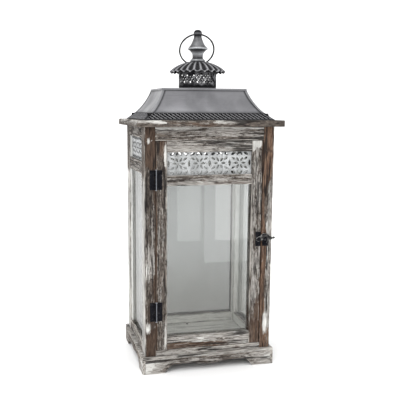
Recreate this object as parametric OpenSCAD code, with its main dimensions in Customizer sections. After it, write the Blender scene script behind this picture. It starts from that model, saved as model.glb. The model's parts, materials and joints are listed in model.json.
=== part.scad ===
// Candle lantern: a four-sided glazed wooden case on a bracket base, with a glazed front door,
// a flared sheet-metal roof, a pierced vent collar, a fluted cap and a ring handle.
// The front faces -Y, +X is to the right and +Z is up. The origin is the middle of the base.

/* [Case] */
// Width of the glazed case across the posts
body_w = 180; // [150:1:220]
// Depth of the glazed case across the posts
body_d = 142; // [120:1:180]
// Height at which the posts end under the cornice
case_top = 336.5; // [300:0.5:400]
// Width of a post seen from the front
post_w = 15; // [12:0.5:18]
// Depth of a post seen from the side
post_d = 20; // [16:0.5:24]
// Thickness of the rails and of the door frame
frame_t = 14; // [12:0.5:16]

/* [Base] */
// Height of the bracket skirts
skirt_h = 19.5; // [16:0.5:26]
// Thickness of a skirt board
skirt_t = 4; // [3:0.5:6]
// Thickness of the base board
base_t = 4; // [3:0.5:8]
// How far the base stands out past the posts
base_out = 4.5; // [2:0.5:8]
// Length of a bracket foot along its skirt
foot_w = 27; // [20:1:34]

/* [Side panels] */
// Height of the bottom rail
side_low_rail = 14; // [10:0.5:20]
// Height of the rail between glass and fretwork
side_mid_rail = 16; // [12:0.5:20]
// Height of the open fretwork panel
side_fret_h = 32; // [24:1:40]
// Height of the top rail
side_top_rail = 15; // [10:0.5:20]

/* [Door] */
// Height of the fixed rail over the door
front_top_rail = 18; // [12:0.5:24]
// Height of the fixed rail under the door
front_low_rail = 7.5; // [5:0.5:12]
// Gap round the door at the hinges, top and bottom
door_gap = 0.7; // [0.5:0.1:1.5]
// Gap at the latch side, which the swinging edge needs
latch_gap = 1.2; // [1:0.1:2]
// Width of a door stile
stile_w = 15; // [12:0.5:20]
// Height of the door's bottom rail
door_low_rail = 18; // [12:0.5:24]
// Height of the door's middle rail
door_mid_rail = 13.7; // [10:0.1:18]
// Height of the door's fretwork opening
door_fret_h = 30.8; // [24:0.1:40]
// Height of the door's top rail
door_top_rail = 14.5; // [10:0.5:20]

/* [Panes] */
// Thickness of a glass pane
glass_t = 2; // [1.5:0.5:2.5]
// Thickness of a fretwork panel
fret_t = 2.4; // [2:0.1:2.5]
// Width of the grooves that hold the panes
groove_w = 2.6; // [2.6:0.1:4]
// Depth of the grooves
groove_d = 4; // [3:0.5:5]
// Depth of a groove behind the outer face
groove_in = 4.2; // [3:0.1:6]

/* [Roof] */
// How far the cornice stands out past the posts
cornice_out = 10.8; // [6:0.1:16]
// Thickness of the cornice board
cornice_t = 8.5; // [6:0.5:12]
// Diameter of the vent hole through the cornice board
cornice_vent = 84; // [60:1:100]
// Inset of the roof foot from the posts
roof_foot_in = 0.2; // [0.1:0.1:4]
// Sheet thickness of the roof
roof_sheet = 1.2; // [0.8:0.1:2]
// Slope of the roof from upright at its top
roof_angle_top = 18.5; // [10:0.5:22]
// Slope of the roof from upright at its foot
roof_angle_foot = 55; // [46:0.5:60]
// Height of the roof under its lid
roof_h = 41.5; // [34:0.5:50]
// Height of the pierced band along the roof foot
band_h = 9.5; // [6:0.5:14]
// Thickness of the pierced band
band_t = 0.8; // [0.6:0.1:1.2]
// Thickness of the flat lid
lid_t = 1; // [0.8:0.1:2]
// Depth of the lid's folded edge
lid_fold = 2.6; // [2:0.1:4]

/* [Vent and finial] */
// Outer radius of the pierced collar
collar_r = 26.6; // [22:0.1:30]
// Wall thickness of the collar
collar_t = 1; // [0.8:0.1:2]
// Radius of the holes in the collar
collar_hole_r = 1.4; // [1:0.1:2]
// Radius of the cap's rim
cap_r = 39.3; // [34:0.1:44]
// Sheet thickness of the cap
cap_t = 1; // [0.8:0.1:2]
// Greatest radius of the finial's bell
bell_r = 14.3; // [12:0.1:18]
// Radius of the knob on top of the finial
knob_r = 6.1; // [6:0.1:8]

/* [Ring handle] */
// Radius of the ring along the middle of its wire
ring_r = 24.4; // [22:0.1:30]
// Radius of the ring's wire
wire_r = 1.2; // [1:0.1:1.5]
// Radius of the cross hole that holds the ring
ring_hole_r = 2.3; // [2.2:0.05:2.6]
// Lean of the ring behind upright at rest, on the cap
ring_lean = 33.8; // [33.6:0.2:42]
// Turn of the knob's cross hole, seen from above
ring_turn = -9.5; // [-45:0.5:45]

/* [Hardware] */
// Height of a butt hinge
hinge_h = 26; // [20:1:36]
// Outer radius of a hinge knuckle
knuckle_r = 1.8; // [1.6:0.1:2.4]
// Radius of a hinge pin
pin_r = 0.9; // [0.7:0.1:1]
// Width of a hinge leaf past the pin
leaf_w = 8.4; // [7:0.1:11]
// Thickness of the metal plates
plate_t = 1; // [0.8:0.1:1.2]
// Height of the latch pivot over the floor
latch_z = 182; // [120:1:240]
// Thickness of the latch hook
hook_t = 1.8; // [1.4:0.1:2.4]

/* [Hidden] */
$fn = 48;
eps = 1;

half_w = body_w / 2;
half_d = body_d / 2;
base_top = skirt_h + base_t;
base_w = body_w + 2 * base_out;
base_d = body_d + 2 * base_out;
opening_w = body_w - 2 * post_w;
side_w = body_d - 2 * post_d;

side_glass_z0 = base_top + side_low_rail;
side_top_z0 = case_top - side_top_rail;
side_fret_z0 = side_top_z0 - side_fret_h;
side_mid_z0 = side_fret_z0 - side_mid_rail;

front_low_z1 = base_top + front_low_rail;
front_top_z0 = case_top - front_top_rail;
door_z0 = front_low_z1 + door_gap;
door_z1 = front_top_z0 - door_gap;
door_x0 = -opening_w / 2 + door_gap;
door_x1 = opening_w / 2 - latch_gap;
door_in_x0 = door_x0 + stile_w;
door_in_x1 = door_x1 - stile_w;
door_glass_z0 = door_z0 + door_low_rail;
door_top_z0 = door_z1 - door_top_rail;
door_fret_z0 = door_top_z0 - door_fret_h;
door_mid_z0 = door_fret_z0 - door_mid_rail;
groove_end_play = 0.5;
fret_border = 2.5;
stop_w = 4;
stop_gap = 0.3;

// The skirts' lower edge: height of the arch, height at the middle, and lengths along the skirt
arch_h = 11.5;
drop_h = 8.3;
foot_curve = 14;
arch_level = 30;
foot_block = 14;
batten_w = 12;
batten_h = 12;
batten_y = 51;
floor_screw_y = 52.5;
floor_screw_len = 12;

cornice_z1 = case_top + cornice_t;
roof_arc_r = roof_h / (sin(roof_angle_foot) - sin(roof_angle_top));
roof_z1 = cornice_z1 + roof_h;
lid_z1 = roof_z1 + lid_t;
lid_hole_r = 22;
roof_top_in = roof_foot_in + roof_arc_r * (cos(roof_angle_top) - cos(roof_angle_foot));
lid_half_w = half_w - roof_top_in + lid_t;
lid_half_d = half_d - roof_top_in + lid_t;

cap_rim_z = lid_z1 + 24.6;
cap_h = 12.9;
// Section of the cap's top face, as points of radius and height over the rim
cap_curve = [
    [cap_r, 0], [cap_r - 6.3, 4.9], [cap_r - 13.7, 8.9],
    [cap_r - 21, 11.5], [cap_r - 26, cap_h], [0, cap_h]
];
finial_z = cap_rim_z + cap_h;
finial_screw_r = 2;
seat_gap = 0.05;
bell_z = lid_z1 + 55.5;
knob_z0 = lid_z1 + 72.2;
knob_top = lid_z1 + 81.5;
spigot_r = 2;
ring_z = lid_z1 + 75.2;

pin_x = -(opening_w / 2) + door_gap / 2;
pin_y = -half_d - 2.1;
hinge_z = [door_z0 + 42.1, door_z1 - 63.8];
knuckle_gap = 0.3;
knuckle_end = hinge_h * 0.3;
leaf_back_off = knuckle_r + 0.4;
post_spans = [[0, knuckle_end], [hinge_h - knuckle_end, hinge_h]];
door_spans = [[knuckle_end + knuckle_gap, hinge_h - knuckle_end - knuckle_gap]];
leaf_screw_x = 5.4;
leaf_screw_z = [5, 21];
pin_play = 0.05;
screw_r = 1.1;
screw_head_r = 1.9;
screw_head_t = 0.7;
screw_len = 8;

latch_x = 69.5;
latch_plate_w = 7;
latch_plate_h = 20;
latch_screw_off = 7.4;
peg_x = 79.2;
peg_r = 2.2;
peg_h = 3.6;
catch_x0 = 75.9;
catch_x1 = 84.6;
catch_screw_x = [78.2, 82.4];
catch_screw_z = latch_z - 7;
notch_r = 3;
rivet_r = 1.5;
hook_bore_r = 1.56;
boss_t = 1.1;
plate_y = -half_d - plate_t;
hook_y = plate_y - boss_t;
peg_reach = peg_x - latch_x;

wood_brown = [0.42, 0.35, 0.30];
wood_wash = [0.62, 0.59, 0.55];
fret_white = [0.80, 0.81, 0.80];
zinc = [0.50, 0.50, 0.51];
zinc_dark = [0.27, 0.28, 0.29];
iron_black = [0.09, 0.09, 0.10];
pane_tint = [0.78, 0.84, 0.84, 0.35];

// ---- helpers ----

module slab(lo, hi) {
    translate(lo) cube(hi - lo);
}

// Places children made with their outer face on y = 0 onto one side of the case
module on_side(turn, reach) {
    rotate([0, 0, turn]) translate([0, -reach, 0]) children();
}

// A pointed oval, as two arcs that meet at its ends
module petal(length, width) {
    arc_r = (length * length + width * width) / (4 * width);
    intersection() {
        translate([0, arc_r - width / 2]) circle(r = arc_r);
        translate([0, width / 2 - arc_r]) circle(r = arc_r);
    }
}

// A round-head wood screw whose head stands on the plane z = 0 and points up
module wood_screw(length) {
    rotate_extrude() polygon([
        [0, -length], [screw_r * 0.3, -length], [screw_r, -length + 2], [screw_r, 0], [screw_head_r, 0],
        [screw_head_r * 0.8, screw_head_t * 0.7], [screw_head_r * 0.4, screw_head_t], [0, screw_head_t]
    ]);
}

module screw_to_front(x, z, face_y, length = screw_len) {
    translate([x, face_y, z]) rotate([90, 0, 0]) wood_screw(length);
}

// ---- base ----

// Height of a skirt's lower edge at distance x from its middle: a foot, a curve, a level arch and a drop
function skirt_edge(x, reach) =
    x >= reach ? 0 :
    x >= reach - foot_curve ? arch_h * sin(90 * (reach - x) / foot_curve) :
    x >= reach - arch_level ? arch_h :
    drop_h + (arch_h - drop_h) * (1 - cos(180 * x / (reach - arch_level))) / 2;

module skirt(length, z1) {
    reach = length / 2 - foot_w;
    steps = 36;
    edge = [for (i = [0:steps]) let (x = -reach + 2 * reach * i / steps) [x, skirt_edge(abs(x), reach)]];
    outline = concat([[-length / 2, 0]], edge, [[length / 2, 0], [length / 2, z1], [-length / 2, z1]]);
    rotate([90, 0, 0]) translate([0, 0, -skirt_t]) linear_extrude(skirt_t) polygon(outline);
}

module base_board() {
    color(wood_wash) difference() {
        slab([-base_w / 2, -base_d / 2, skirt_h], [base_w / 2, base_d / 2, base_top]);
        for (s = [-1, 1])
            translate([0, s * floor_screw_y, skirt_h - eps]) cylinder(r = screw_r, h = base_t + 2 * eps);
    }
}

module skirt_front() color(wood_wash) on_side(0, base_d / 2) skirt(base_w - 2 * skirt_t, skirt_h);
module skirt_back() color(wood_wash) on_side(180, base_d / 2) skirt(base_w - 2 * skirt_t, skirt_h);
module skirt_left() color(wood_wash) on_side(-90, base_w / 2) skirt(base_d, skirt_h);
module skirt_right() color(wood_wash) on_side(90, base_w / 2) skirt(base_d, skirt_h);

module foot_blocks() {
    off = skirt_t + foot_block / 2;
    color(wood_brown) for (sx = [-1, 1], sy = [-1, 1])
        translate([sx * (base_w / 2 - off), sy * (base_d / 2 - off), skirt_h / 2])
            cube([foot_block, foot_block, skirt_h], center = true);
}

// Two strips under the base board that the floor screws bite into
module base_battens() {
    length = base_w - 2 * skirt_t;
    color(wood_brown) for (s = [-1, 1])
        translate([0, s * batten_y, skirt_h - batten_h / 2]) cube([length, batten_w, batten_h], center = true);
}

module floor_screws() {
    color(iron_black) for (s = [-1, 1]) translate([0, s * floor_screw_y, base_top]) wood_screw(floor_screw_len);
}

// ---- case ----

module side_groove(sy) {
    y0 = sy < 0 ? -half_d + post_d - groove_d : half_d - post_d - eps;
    x0 = -half_w + groove_in;
    slab([x0, y0, base_top - eps], [x0 + groove_w, y0 + groove_d + eps, case_top + eps]);
}

module front_post() {
    difference() {
        slab([-half_w, -half_d, base_top], [-half_w + post_w, -half_d + post_d, case_top]);
        side_groove(-1);
    }
}

module back_post() {
    difference() {
        slab([-half_w, half_d - post_d, base_top], [-half_w + post_w, half_d, case_top]);
        side_groove(1);
        slab([-half_w + post_w - groove_d, half_d - groove_in - groove_w, base_top - eps],
             [-half_w + post_w + eps, half_d - groove_in, case_top + eps]);
    }
}

module post_front_left() color(wood_brown) front_post();
module post_front_right() color(wood_brown) mirror([1, 0, 0]) front_post();
module post_back_left() color(wood_brown) back_post();
module post_back_right() color(wood_brown) mirror([1, 0, 0]) back_post();

// A rail between two posts or stiles, with a groove in its lower or upper edge where a pane enters
module rail(x0, x1, z0, z1, low = false, high = false) {
    difference() {
        slab([x0, 0, z0], [x1, frame_t, z1]);
        if (low) slab([x0 - eps, groove_in, z0 - eps], [x1 + eps, groove_in + groove_w, z0 + groove_d]);
        if (high) slab([x0 - eps, groove_in, z1 - groove_d], [x1 + eps, groove_in + groove_w, z1 + eps]);
    }
}

// A sheet in the middle of the grooves, which enters them by all but the end play
module sheet(x0, x1, z0, z1, t) {
    reach = groove_d - groove_end_play;
    mid = groove_in + groove_w / 2;
    slab([x0 - reach, mid - t / 2, z0 - reach], [x1 + reach, mid + t / 2, z1 + reach]);
}

// The cuts of one square of fretwork: a flower of six petals in a frame of arches and points
module fret_cuts(pitch, height) {
    for (a = [0:60:300]) rotate(a) translate([5.4, 0]) petal(6.4, 2.8);
    for (sx = [-1, 1], sy = [-1, 1]) {
        translate([sx * pitch * 0.31, sy * height * 0.2]) rotate(sx * sy * 32) petal(6.6, 2.7);
        translate([sx * pitch * 0.32, sy * height * 0.41]) rotate(-sx * sy * 28) petal(7, 3.6);
    }
    for (s = [-1, 1]) translate([0, s * height * 0.36]) difference() {
        circle(r = 4.1);
        translate([0, -s * 1.3]) circle(r = 2.6);
        translate([-5, s > 0 ? -5.6 : 0.6]) square([10, 5]);
    }
}

// A pierced panel whose pattern repeats along the opening
module fretwork(x0, x1, z0, z1, cells) {
    pitch = (x1 - x0 - 2 * fret_border) / cells;
    height = z1 - z0;
    reach = groove_d - groove_end_play;
    mid_x = (x0 + x1) / 2;
    mid_z = (z0 + z1) / 2;
    translate([mid_x, groove_in + groove_w / 2 + fret_t / 2, mid_z]) rotate([90, 0, 0]) linear_extrude(fret_t)
        difference() {
            square([x1 - x0 + 2 * reach, height + 2 * reach], center = true);
            for (i = [0:cells - 1]) translate([(i - (cells - 1) / 2) * pitch, 0]) fret_cuts(pitch, height);
            for (i = [0:cells]) translate([(i - cells / 2) * pitch, 0]) rotate(90) petal(8.6, 3.4);
        }
}

module fixed_front_rail(z0, z1) {
    color(wood_wash) on_side(0, half_d) rail(-opening_w / 2, opening_w / 2, z0, z1);
}

module front_top_rail() fixed_front_rail(front_top_z0, case_top);
module front_bottom_rail() fixed_front_rail(base_top, front_low_z1);

module door_stop() {
    color(wood_wash) slab([opening_w / 2 - stop_w, -half_d + frame_t + stop_gap, base_top],
                          [opening_w / 2, -half_d + post_d - 0.5, case_top]);
}

module glazed_rail(w, which) {
    if (which == "top") rail(-w / 2, w / 2, side_top_z0, case_top, low = true);
    if (which == "mid") rail(-w / 2, w / 2, side_mid_z0, side_fret_z0, low = true, high = true);
    if (which == "low") rail(-w / 2, w / 2, base_top, side_glass_z0, high = true);
}

module side_panel(w) fretwork(-w / 2, w / 2, side_fret_z0, side_top_z0, 4);
module side_pane(w) sheet(-w / 2, w / 2, side_glass_z0, side_mid_z0, glass_t);

module back_top_rail() color(wood_wash) on_side(180, half_d) glazed_rail(opening_w, "top");
module back_mid_rail() color(wood_wash) on_side(180, half_d) glazed_rail(opening_w, "mid");
module back_bottom_rail() color(wood_wash) on_side(180, half_d) glazed_rail(opening_w, "low");
module back_glass() color(pane_tint) on_side(180, half_d) side_pane(opening_w);
module back_fretwork() {
    color(fret_white) on_side(180, half_d)
        fretwork(-opening_w / 2, opening_w / 2, side_fret_z0, side_top_z0, 5);
}

module left_top_rail() color(wood_wash) on_side(-90, half_w) glazed_rail(side_w, "top");
module left_mid_rail() color(wood_wash) on_side(-90, half_w) glazed_rail(side_w, "mid");
module left_bottom_rail() color(wood_wash) on_side(-90, half_w) glazed_rail(side_w, "low");
module left_fretwork() color(fret_white) on_side(-90, half_w) side_panel(side_w);
module left_glass() color(pane_tint) on_side(-90, half_w) side_pane(side_w);

module right_top_rail() color(wood_wash) on_side(90, half_w) glazed_rail(side_w, "top");
module right_mid_rail() color(wood_wash) on_side(90, half_w) glazed_rail(side_w, "mid");
module right_bottom_rail() color(wood_wash) on_side(90, half_w) glazed_rail(side_w, "low");
module right_fretwork() color(fret_white) on_side(90, half_w) side_panel(side_w);
module right_glass() color(pane_tint) on_side(90, half_w) side_pane(side_w);

// ---- roof ----

module cornice_board() {
    color(wood_brown) difference() {
        slab([-half_w - cornice_out, -half_d - cornice_out, case_top],
             [half_w + cornice_out, half_d + cornice_out, cornice_z1]);
        translate([0, 0, case_top - eps]) cylinder(d = cornice_vent, h = cornice_t + 2 * eps);
    }
}

// The roof's outer face is a hollow arc: inset from the posts and height over its foot where its slope is a
function roof_in(a) = roof_foot_in + roof_arc_r * (cos(a) - cos(roof_angle_foot));
function roof_up(a) = roof_arc_r * (sin(roof_angle_foot) - sin(a));
function roof_slope(i, steps) = roof_angle_foot + (roof_angle_top - roof_angle_foot) * i / steps;

// One half of the roof's section, moved inwards or outwards by shift
function roof_curve(reach, shift, steps = 9) = [
    for (i = [0:steps]) let (a = roof_slope(i, steps))
        [reach - roof_in(a) + shift * cos(a), roof_up(a) + shift * sin(a)]
];

// The solid under a curve, from far below the foot up to height top
module roof_block(reach, across, shift, low, top) {
    curve = roof_curve(reach, shift);
    first = curve[0];
    last = curve[len(curve) - 1];
    right = concat([[first[0] + (first[1] - low) * tan(roof_angle_foot), low]], curve, [[last[0], top]]);
    left = [for (i = [len(right) - 1:-1:0]) [-right[i][0], right[i][1]]];
    rotate([90, 0, 0]) translate([0, 0, -across]) linear_extrude(2 * across) polygon(concat(right, left));
}

// A hipped roof is what two such blocks at right angles share
module roof_form(shift, low, top) {
    intersection() {
        roof_block(half_w, body_w, shift, low, top);
        rotate([0, 0, 90]) roof_block(half_d, body_w, shift, low, top);
    }
}

module roof_shell() {
    color(zinc) translate([0, 0, cornice_z1]) difference() {
        intersection() {
            roof_form(0, -eps, roof_h);
            slab([-body_w, -body_w, 0], [body_w, body_w, roof_h]);
        }
        roof_form(-roof_sheet, -3, roof_h + eps);
    }
}

module roof_band() {
    color(zinc_dark) translate([0, 0, cornice_z1]) difference() {
        intersection() {
            roof_form(band_t, -3, roof_h);
            slab([-body_w, -body_w, 0], [body_w, body_w, band_h]);
        }
        roof_form(0, -3, roof_h + eps);
    }
}

// A flat tray turned upside down over the top of the roof
module roof_lid() {
    color(zinc) difference() {
        slab([-lid_half_w, -lid_half_d, roof_z1 - lid_fold], [lid_half_w, lid_half_d, lid_z1]);
        translate([0, 0, cornice_z1]) roof_form(0, -3, roof_h);
        translate([0, 0, roof_z1 - eps]) cylinder(r = lid_hole_r, h = lid_t + 2 * eps);
    }
}

// ---- vent, finial and ring ----

// All the room under the cap, from far below its rim up to its underside
module cap_room() {
    rotate_extrude() polygon(concat([[0, -40], [cap_r, -40]], [for (p = cap_curve) [p[0], p[1] - cap_t]]));
}

// Rings of holes in the collar: height over the lid, number of holes, turn of the first one
collar_rows = [[4.6, 16, 0], [8.6, 16, 11.25], [12.6, 16, 0], [16.6, 16, 11.25]];

module vent_collar() {
    color(zinc_dark) difference() {
        intersection() {
            translate([0, 0, lid_z1]) cylinder(r = collar_r, h = 40);
            translate([0, 0, cap_rim_z - seat_gap]) cap_room();
        }
        translate([0, 0, lid_z1 - eps]) cylinder(r = collar_r - collar_t, h = 42);
        for (row = collar_rows, i = [0:row[1] - 1]) rotate([0, 0, row[2] + i * 360 / row[1]])
            translate([collar_r - 2 * collar_t, 0, lid_z1 + row[0]]) rotate([0, 90, 0])
                cylinder(r = collar_hole_r, h = 4 * collar_t);
    }
}

module vent_cap() {
    under = [for (i = [len(cap_curve) - 1:-1:0]) [cap_curve[i][0], cap_curve[i][1] - cap_t]];
    color(zinc_dark) translate([0, 0, cap_rim_z]) difference() {
        rotate_extrude() polygon(concat(cap_curve, under));
        cylinder(r = finial_screw_r, h = cap_h + eps);
    }
}

module finial() {
    z = bell_z;
    foot = finial_z;
    color(zinc) difference() {
        rotate_extrude() polygon([
            [0, foot], [10.5, foot], [10.2, foot + 2.4], [7.6, foot + 5], [7.4, foot + 7.5], [8.1, z - 6.6],
            [11.2, z - 2.6], [bell_r - 0.4, z - 0.8], [bell_r, z], [bell_r - 0.5, z + 0.8], [10.4, z + 4.5],
            [8.4, z + 8], [7, z + 11.4], [5.9, z + 14.4], [5.4, knob_z0], [0, knob_z0]
        ]);
        translate([0, 0, foot - eps]) cylinder(r = finial_screw_r, h = 12 + eps);
        translate([0, 0, knob_z0 - 4]) cylinder(r = spigot_r, h = 4 + eps);
    }
}

module finial_knob() {
    color(zinc_dark) difference() {
        union() {
            rotate_extrude() polygon([
                [0, knob_z0], [5.3, knob_z0], [5.6, knob_z0 + 1.4], [knob_r, knob_z0 + 3],
                [knob_r, knob_z0 + 4.4], [5.5, knob_z0 + 6.2], [4.2, knob_z0 + 7.8],
                [2.4, knob_z0 + 8.9], [0, knob_top]
            ]);
            translate([0, 0, knob_z0 - 3.8]) cylinder(r = spigot_r, h = 4.5);
        }
        rotate([0, 0, ring_turn]) translate([-knob_r - eps, 0, ring_z]) rotate([0, 90, 0])
            cylinder(r = ring_hole_r, h = 2 * knob_r + 2 * eps);
    }
}

module finial_screw() {
    z = finial_z - cap_t;
    color(iron_black) union() {
        translate([0, 0, z - 2]) cylinder(r = 3.6, h = 2);
        translate([0, 0, z - 1]) cylinder(r = finial_screw_r, h = 12);
    }
}

module ring_handle() {
    color(iron_black) translate([0, 0, ring_z]) rotate([0, 0, ring_turn]) rotate([ring_lean, 0, 0])
        translate([0, 0, -ring_r]) rotate([90, 0, 0])
            rotate_extrude() translate([ring_r, 0]) circle(r = wire_r);
}

// ---- door ----

module stile(x0, x1, inner) {
    gx = inner > 0 ? x1 - groove_d : x0 - eps;
    difference() {
        slab([x0, 0, door_z0], [x1, frame_t, door_z1]);
        slab([gx, groove_in, door_z0 - eps], [gx + groove_d + eps, groove_in + groove_w, door_z1 + eps]);
    }
}

module door_rail(z0, z1, low = false, high = false) {
    color(wood_wash) on_side(0, half_d) rail(door_in_x0, door_in_x1, z0, z1, low, high);
}

module door_left_stile() color(wood_brown) on_side(0, half_d) stile(door_x0, door_in_x0, 1);
module door_right_stile() color(wood_brown) on_side(0, half_d) stile(door_in_x1, door_x1, -1);
module door_top_rail() door_rail(door_top_z0, door_z1, low = true);
module door_mid_rail() door_rail(door_mid_z0, door_fret_z0, low = true, high = true);
module door_bottom_rail() door_rail(door_z0, door_glass_z0, high = true);

module door_glass() {
    color(pane_tint) on_side(0, half_d) sheet(door_in_x0, door_in_x1, door_glass_z0, door_mid_z0, glass_t);
}

module door_fretwork() {
    color(fret_white) on_side(0, half_d) fretwork(door_in_x0, door_in_x1, door_fret_z0, door_top_z0, 4);
}

// ---- hinges ----

// One hinge leaf: side is -1 for the post leaf and 1 for the door leaf, and spans are its knuckles' heights
module hinge_leaf(side, spans, bore_r) {
    difference() {
        union() {
            translate([side > 0 ? leaf_back_off : -leaf_w, -pin_y - half_d - plate_t, 0])
                cube([leaf_w - leaf_back_off, plate_t, hinge_h]);
            for (s = spans) {
                translate([side > 0 ? 0 : -leaf_back_off - 0.1, -pin_y - half_d - plate_t, s[0]])
                    cube([leaf_back_off + 0.1, plate_t, s[1] - s[0]]);
                translate([0, 0, s[0]]) cylinder(r = knuckle_r, h = s[1] - s[0]);
            }
        }
        translate([0, 0, -eps]) cylinder(r = bore_r, h = hinge_h + 2 * eps);
        for (z = leaf_screw_z)
            translate([side * leaf_screw_x, 0, z]) rotate([-90, 0, 0]) cylinder(r = screw_r, h = 5);
    }
}

module at_hinges() {
    for (z = hinge_z) translate([pin_x, pin_y, z]) children();
}

module hinge_post_leaves() color(iron_black) at_hinges() hinge_leaf(-1, post_spans, pin_r);
module hinge_door_leaves() color(iron_black) at_hinges() hinge_leaf(1, door_spans, pin_r + pin_play);

module hinge_pins() {
    color(zinc) at_hinges() rotate_extrude() polygon([
        [0, -1], [1.4, -0.9], [1.5, -0.1], [pin_r, -0.1], [pin_r, hinge_h + 0.1], [1.5, hinge_h + 0.1],
        [1.4, hinge_h + 0.9], [0, hinge_h + 1]
    ]);
}

module leaf_screws(side) {
    for (z = hinge_z, dz = leaf_screw_z) screw_to_front(pin_x + side * leaf_screw_x, z + dz, plate_y);
}

module hinge_post_screws() color(iron_black) leaf_screws(-1);
module hinge_door_screws() color(iron_black) leaf_screws(1);

// ---- latch ----

module screw_hole(x, z) {
    translate([x, plate_y - eps, z]) rotate([-90, 0, 0]) cylinder(r = screw_r, h = plate_t + 2 * eps);
}

module latch_plate() {
    color(iron_black) difference() {
        union() {
            slab([latch_x - latch_plate_w / 2, plate_y, latch_z - latch_plate_h / 2],
                 [latch_x + latch_plate_w / 2, -half_d, latch_z + latch_plate_h / 2]);
            translate([latch_x, plate_y, latch_z]) rotate([90, 0, 0]) cylinder(r = 2.4, h = boss_t - 0.1);
        }
        for (s = [-1, 1]) screw_hole(latch_x, latch_z + s * latch_screw_off);
    }
}

module latch_screws() {
    color(iron_black) for (s = [-1, 1]) screw_to_front(latch_x, latch_z + s * latch_screw_off, plate_y);
}

module latch_rivet() {
    color(iron_black) translate([latch_x, hook_y + 0.1, latch_z]) rotate([90, 0, 0]) union() {
        cylinder(r = rivet_r, h = hook_t + 0.4);
        translate([0, 0, hook_t + 0.2])
            rotate_extrude() polygon([[0, 0], [2.7, 0], [2.3, 0.6], [1.2, 1], [0, 1.1]]);
    }
}

// The hook seen from the front, with its pivot at the origin: an arch over the peg and a curled tail
module hook_outline() {
    difference() {
        union() {
            circle(r = 3.1);
            polygon([[-0.6, 3], [2.6, -1.9], [7, -0.8], [5, 6]]);
            translate([peg_reach - 0.4, 1.2]) circle(r = 7);
            translate([peg_reach + 5, -0.6]) circle(r = 2.1);
            translate([peg_reach, 0]) polygon([[4, 4.6], [5, -2.6], [12, 0.6], [12, 2.4]]);
            translate([peg_reach + 12.4, 1.7]) circle(r = 1.7);
        }
        circle(r = hook_bore_r);
        translate([peg_reach, 0]) circle(r = notch_r);
        difference() {
            circle(r = peg_reach + notch_r);
            circle(r = peg_reach - notch_r);
            translate([-20, 0]) square([40, 20]);
        }
        translate([2.6, -9]) square([peg_reach - notch_r - 2.5, 7]);
    }
}

module latch_hook() {
    color(iron_black) translate([latch_x, hook_y, latch_z]) rotate([90, 0, 0]) linear_extrude(hook_t) hook_outline();
}

module catch_plate() {
    color(iron_black) difference() {
        union() {
            slab([catch_x0, plate_y, latch_z - 10], [catch_x1, -half_d, latch_z + 4.2]);
            translate([peg_x, plate_y, latch_z]) rotate([90, 0, 0]) cylinder(r = peg_r, h = peg_h);
        }
        for (x = catch_screw_x) screw_hole(x, catch_screw_z);
    }
}

module catch_screws() {
    color(iron_black) for (x = catch_screw_x) screw_to_front(x, catch_screw_z, plate_y);
}

// ---- output ----

base_board();
skirt_front();
skirt_back();
skirt_left();
skirt_right();
foot_blocks();
base_battens();
floor_screws();
post_front_left();
post_front_right();
post_back_left();
post_back_right();
front_top_rail();
front_bottom_rail();
door_stop();
back_top_rail();
back_mid_rail();
back_bottom_rail();
back_fretwork();
back_glass();
left_top_rail();
left_mid_rail();
left_bottom_rail();
left_fretwork();
left_glass();
right_top_rail();
right_mid_rail();
right_bottom_rail();
right_fretwork();
right_glass();
cornice_board();
roof_shell();
roof_band();
roof_lid();
vent_collar();
vent_cap();
finial();
finial_knob();
finial_screw();
ring_handle();
door_left_stile();
door_right_stile();
door_top_rail();
door_mid_rail();
door_bottom_rail();
door_fretwork();
door_glass();
hinge_post_leaves();
hinge_door_leaves();
hinge_pins();
hinge_post_screws();
hinge_door_screws();
latch_plate();
latch_screws();
latch_rivet();
latch_hook();
catch_plate();
catch_screws();
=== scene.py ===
import json
import math
from contextlib import contextmanager

import bmesh
import bpy
from mathutils import Matrix, Vector, noise
from mathutils.geometry import delaunay_2d_cdt


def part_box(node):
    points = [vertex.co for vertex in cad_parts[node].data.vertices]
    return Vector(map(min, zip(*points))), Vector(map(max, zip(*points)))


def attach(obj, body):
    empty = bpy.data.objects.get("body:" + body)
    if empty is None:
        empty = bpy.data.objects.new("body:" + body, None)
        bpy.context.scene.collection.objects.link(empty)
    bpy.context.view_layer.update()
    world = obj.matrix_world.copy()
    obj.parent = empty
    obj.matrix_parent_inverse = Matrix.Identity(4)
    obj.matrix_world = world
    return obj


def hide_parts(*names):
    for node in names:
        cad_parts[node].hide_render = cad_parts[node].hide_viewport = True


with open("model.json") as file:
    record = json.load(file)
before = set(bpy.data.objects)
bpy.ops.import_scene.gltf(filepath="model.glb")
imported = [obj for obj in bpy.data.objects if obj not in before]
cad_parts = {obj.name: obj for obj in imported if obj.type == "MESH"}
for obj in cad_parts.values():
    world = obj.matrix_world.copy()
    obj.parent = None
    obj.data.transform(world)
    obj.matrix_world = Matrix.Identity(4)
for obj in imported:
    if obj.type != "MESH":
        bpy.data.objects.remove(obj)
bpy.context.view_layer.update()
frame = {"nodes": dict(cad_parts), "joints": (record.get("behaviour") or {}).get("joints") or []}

MM = 0.001


# ---------------------------------------------------------------- small helpers

def ease(lo, hi, x):
    t = min(1.0, max(0.0, (x - lo) / (hi - lo)))
    return t * t * (3 - 2 * t)


def grain_noise(co, scale, seed=0.0):
    return noise.noise(Vector(co) * scale + Vector((seed * 7.31, seed * 3.17, seed * 5.71)))


def link_mesh(name, mesh):
    obj = bpy.data.objects.new(name, mesh)
    bpy.context.scene.collection.objects.link(obj)
    return obj


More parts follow.
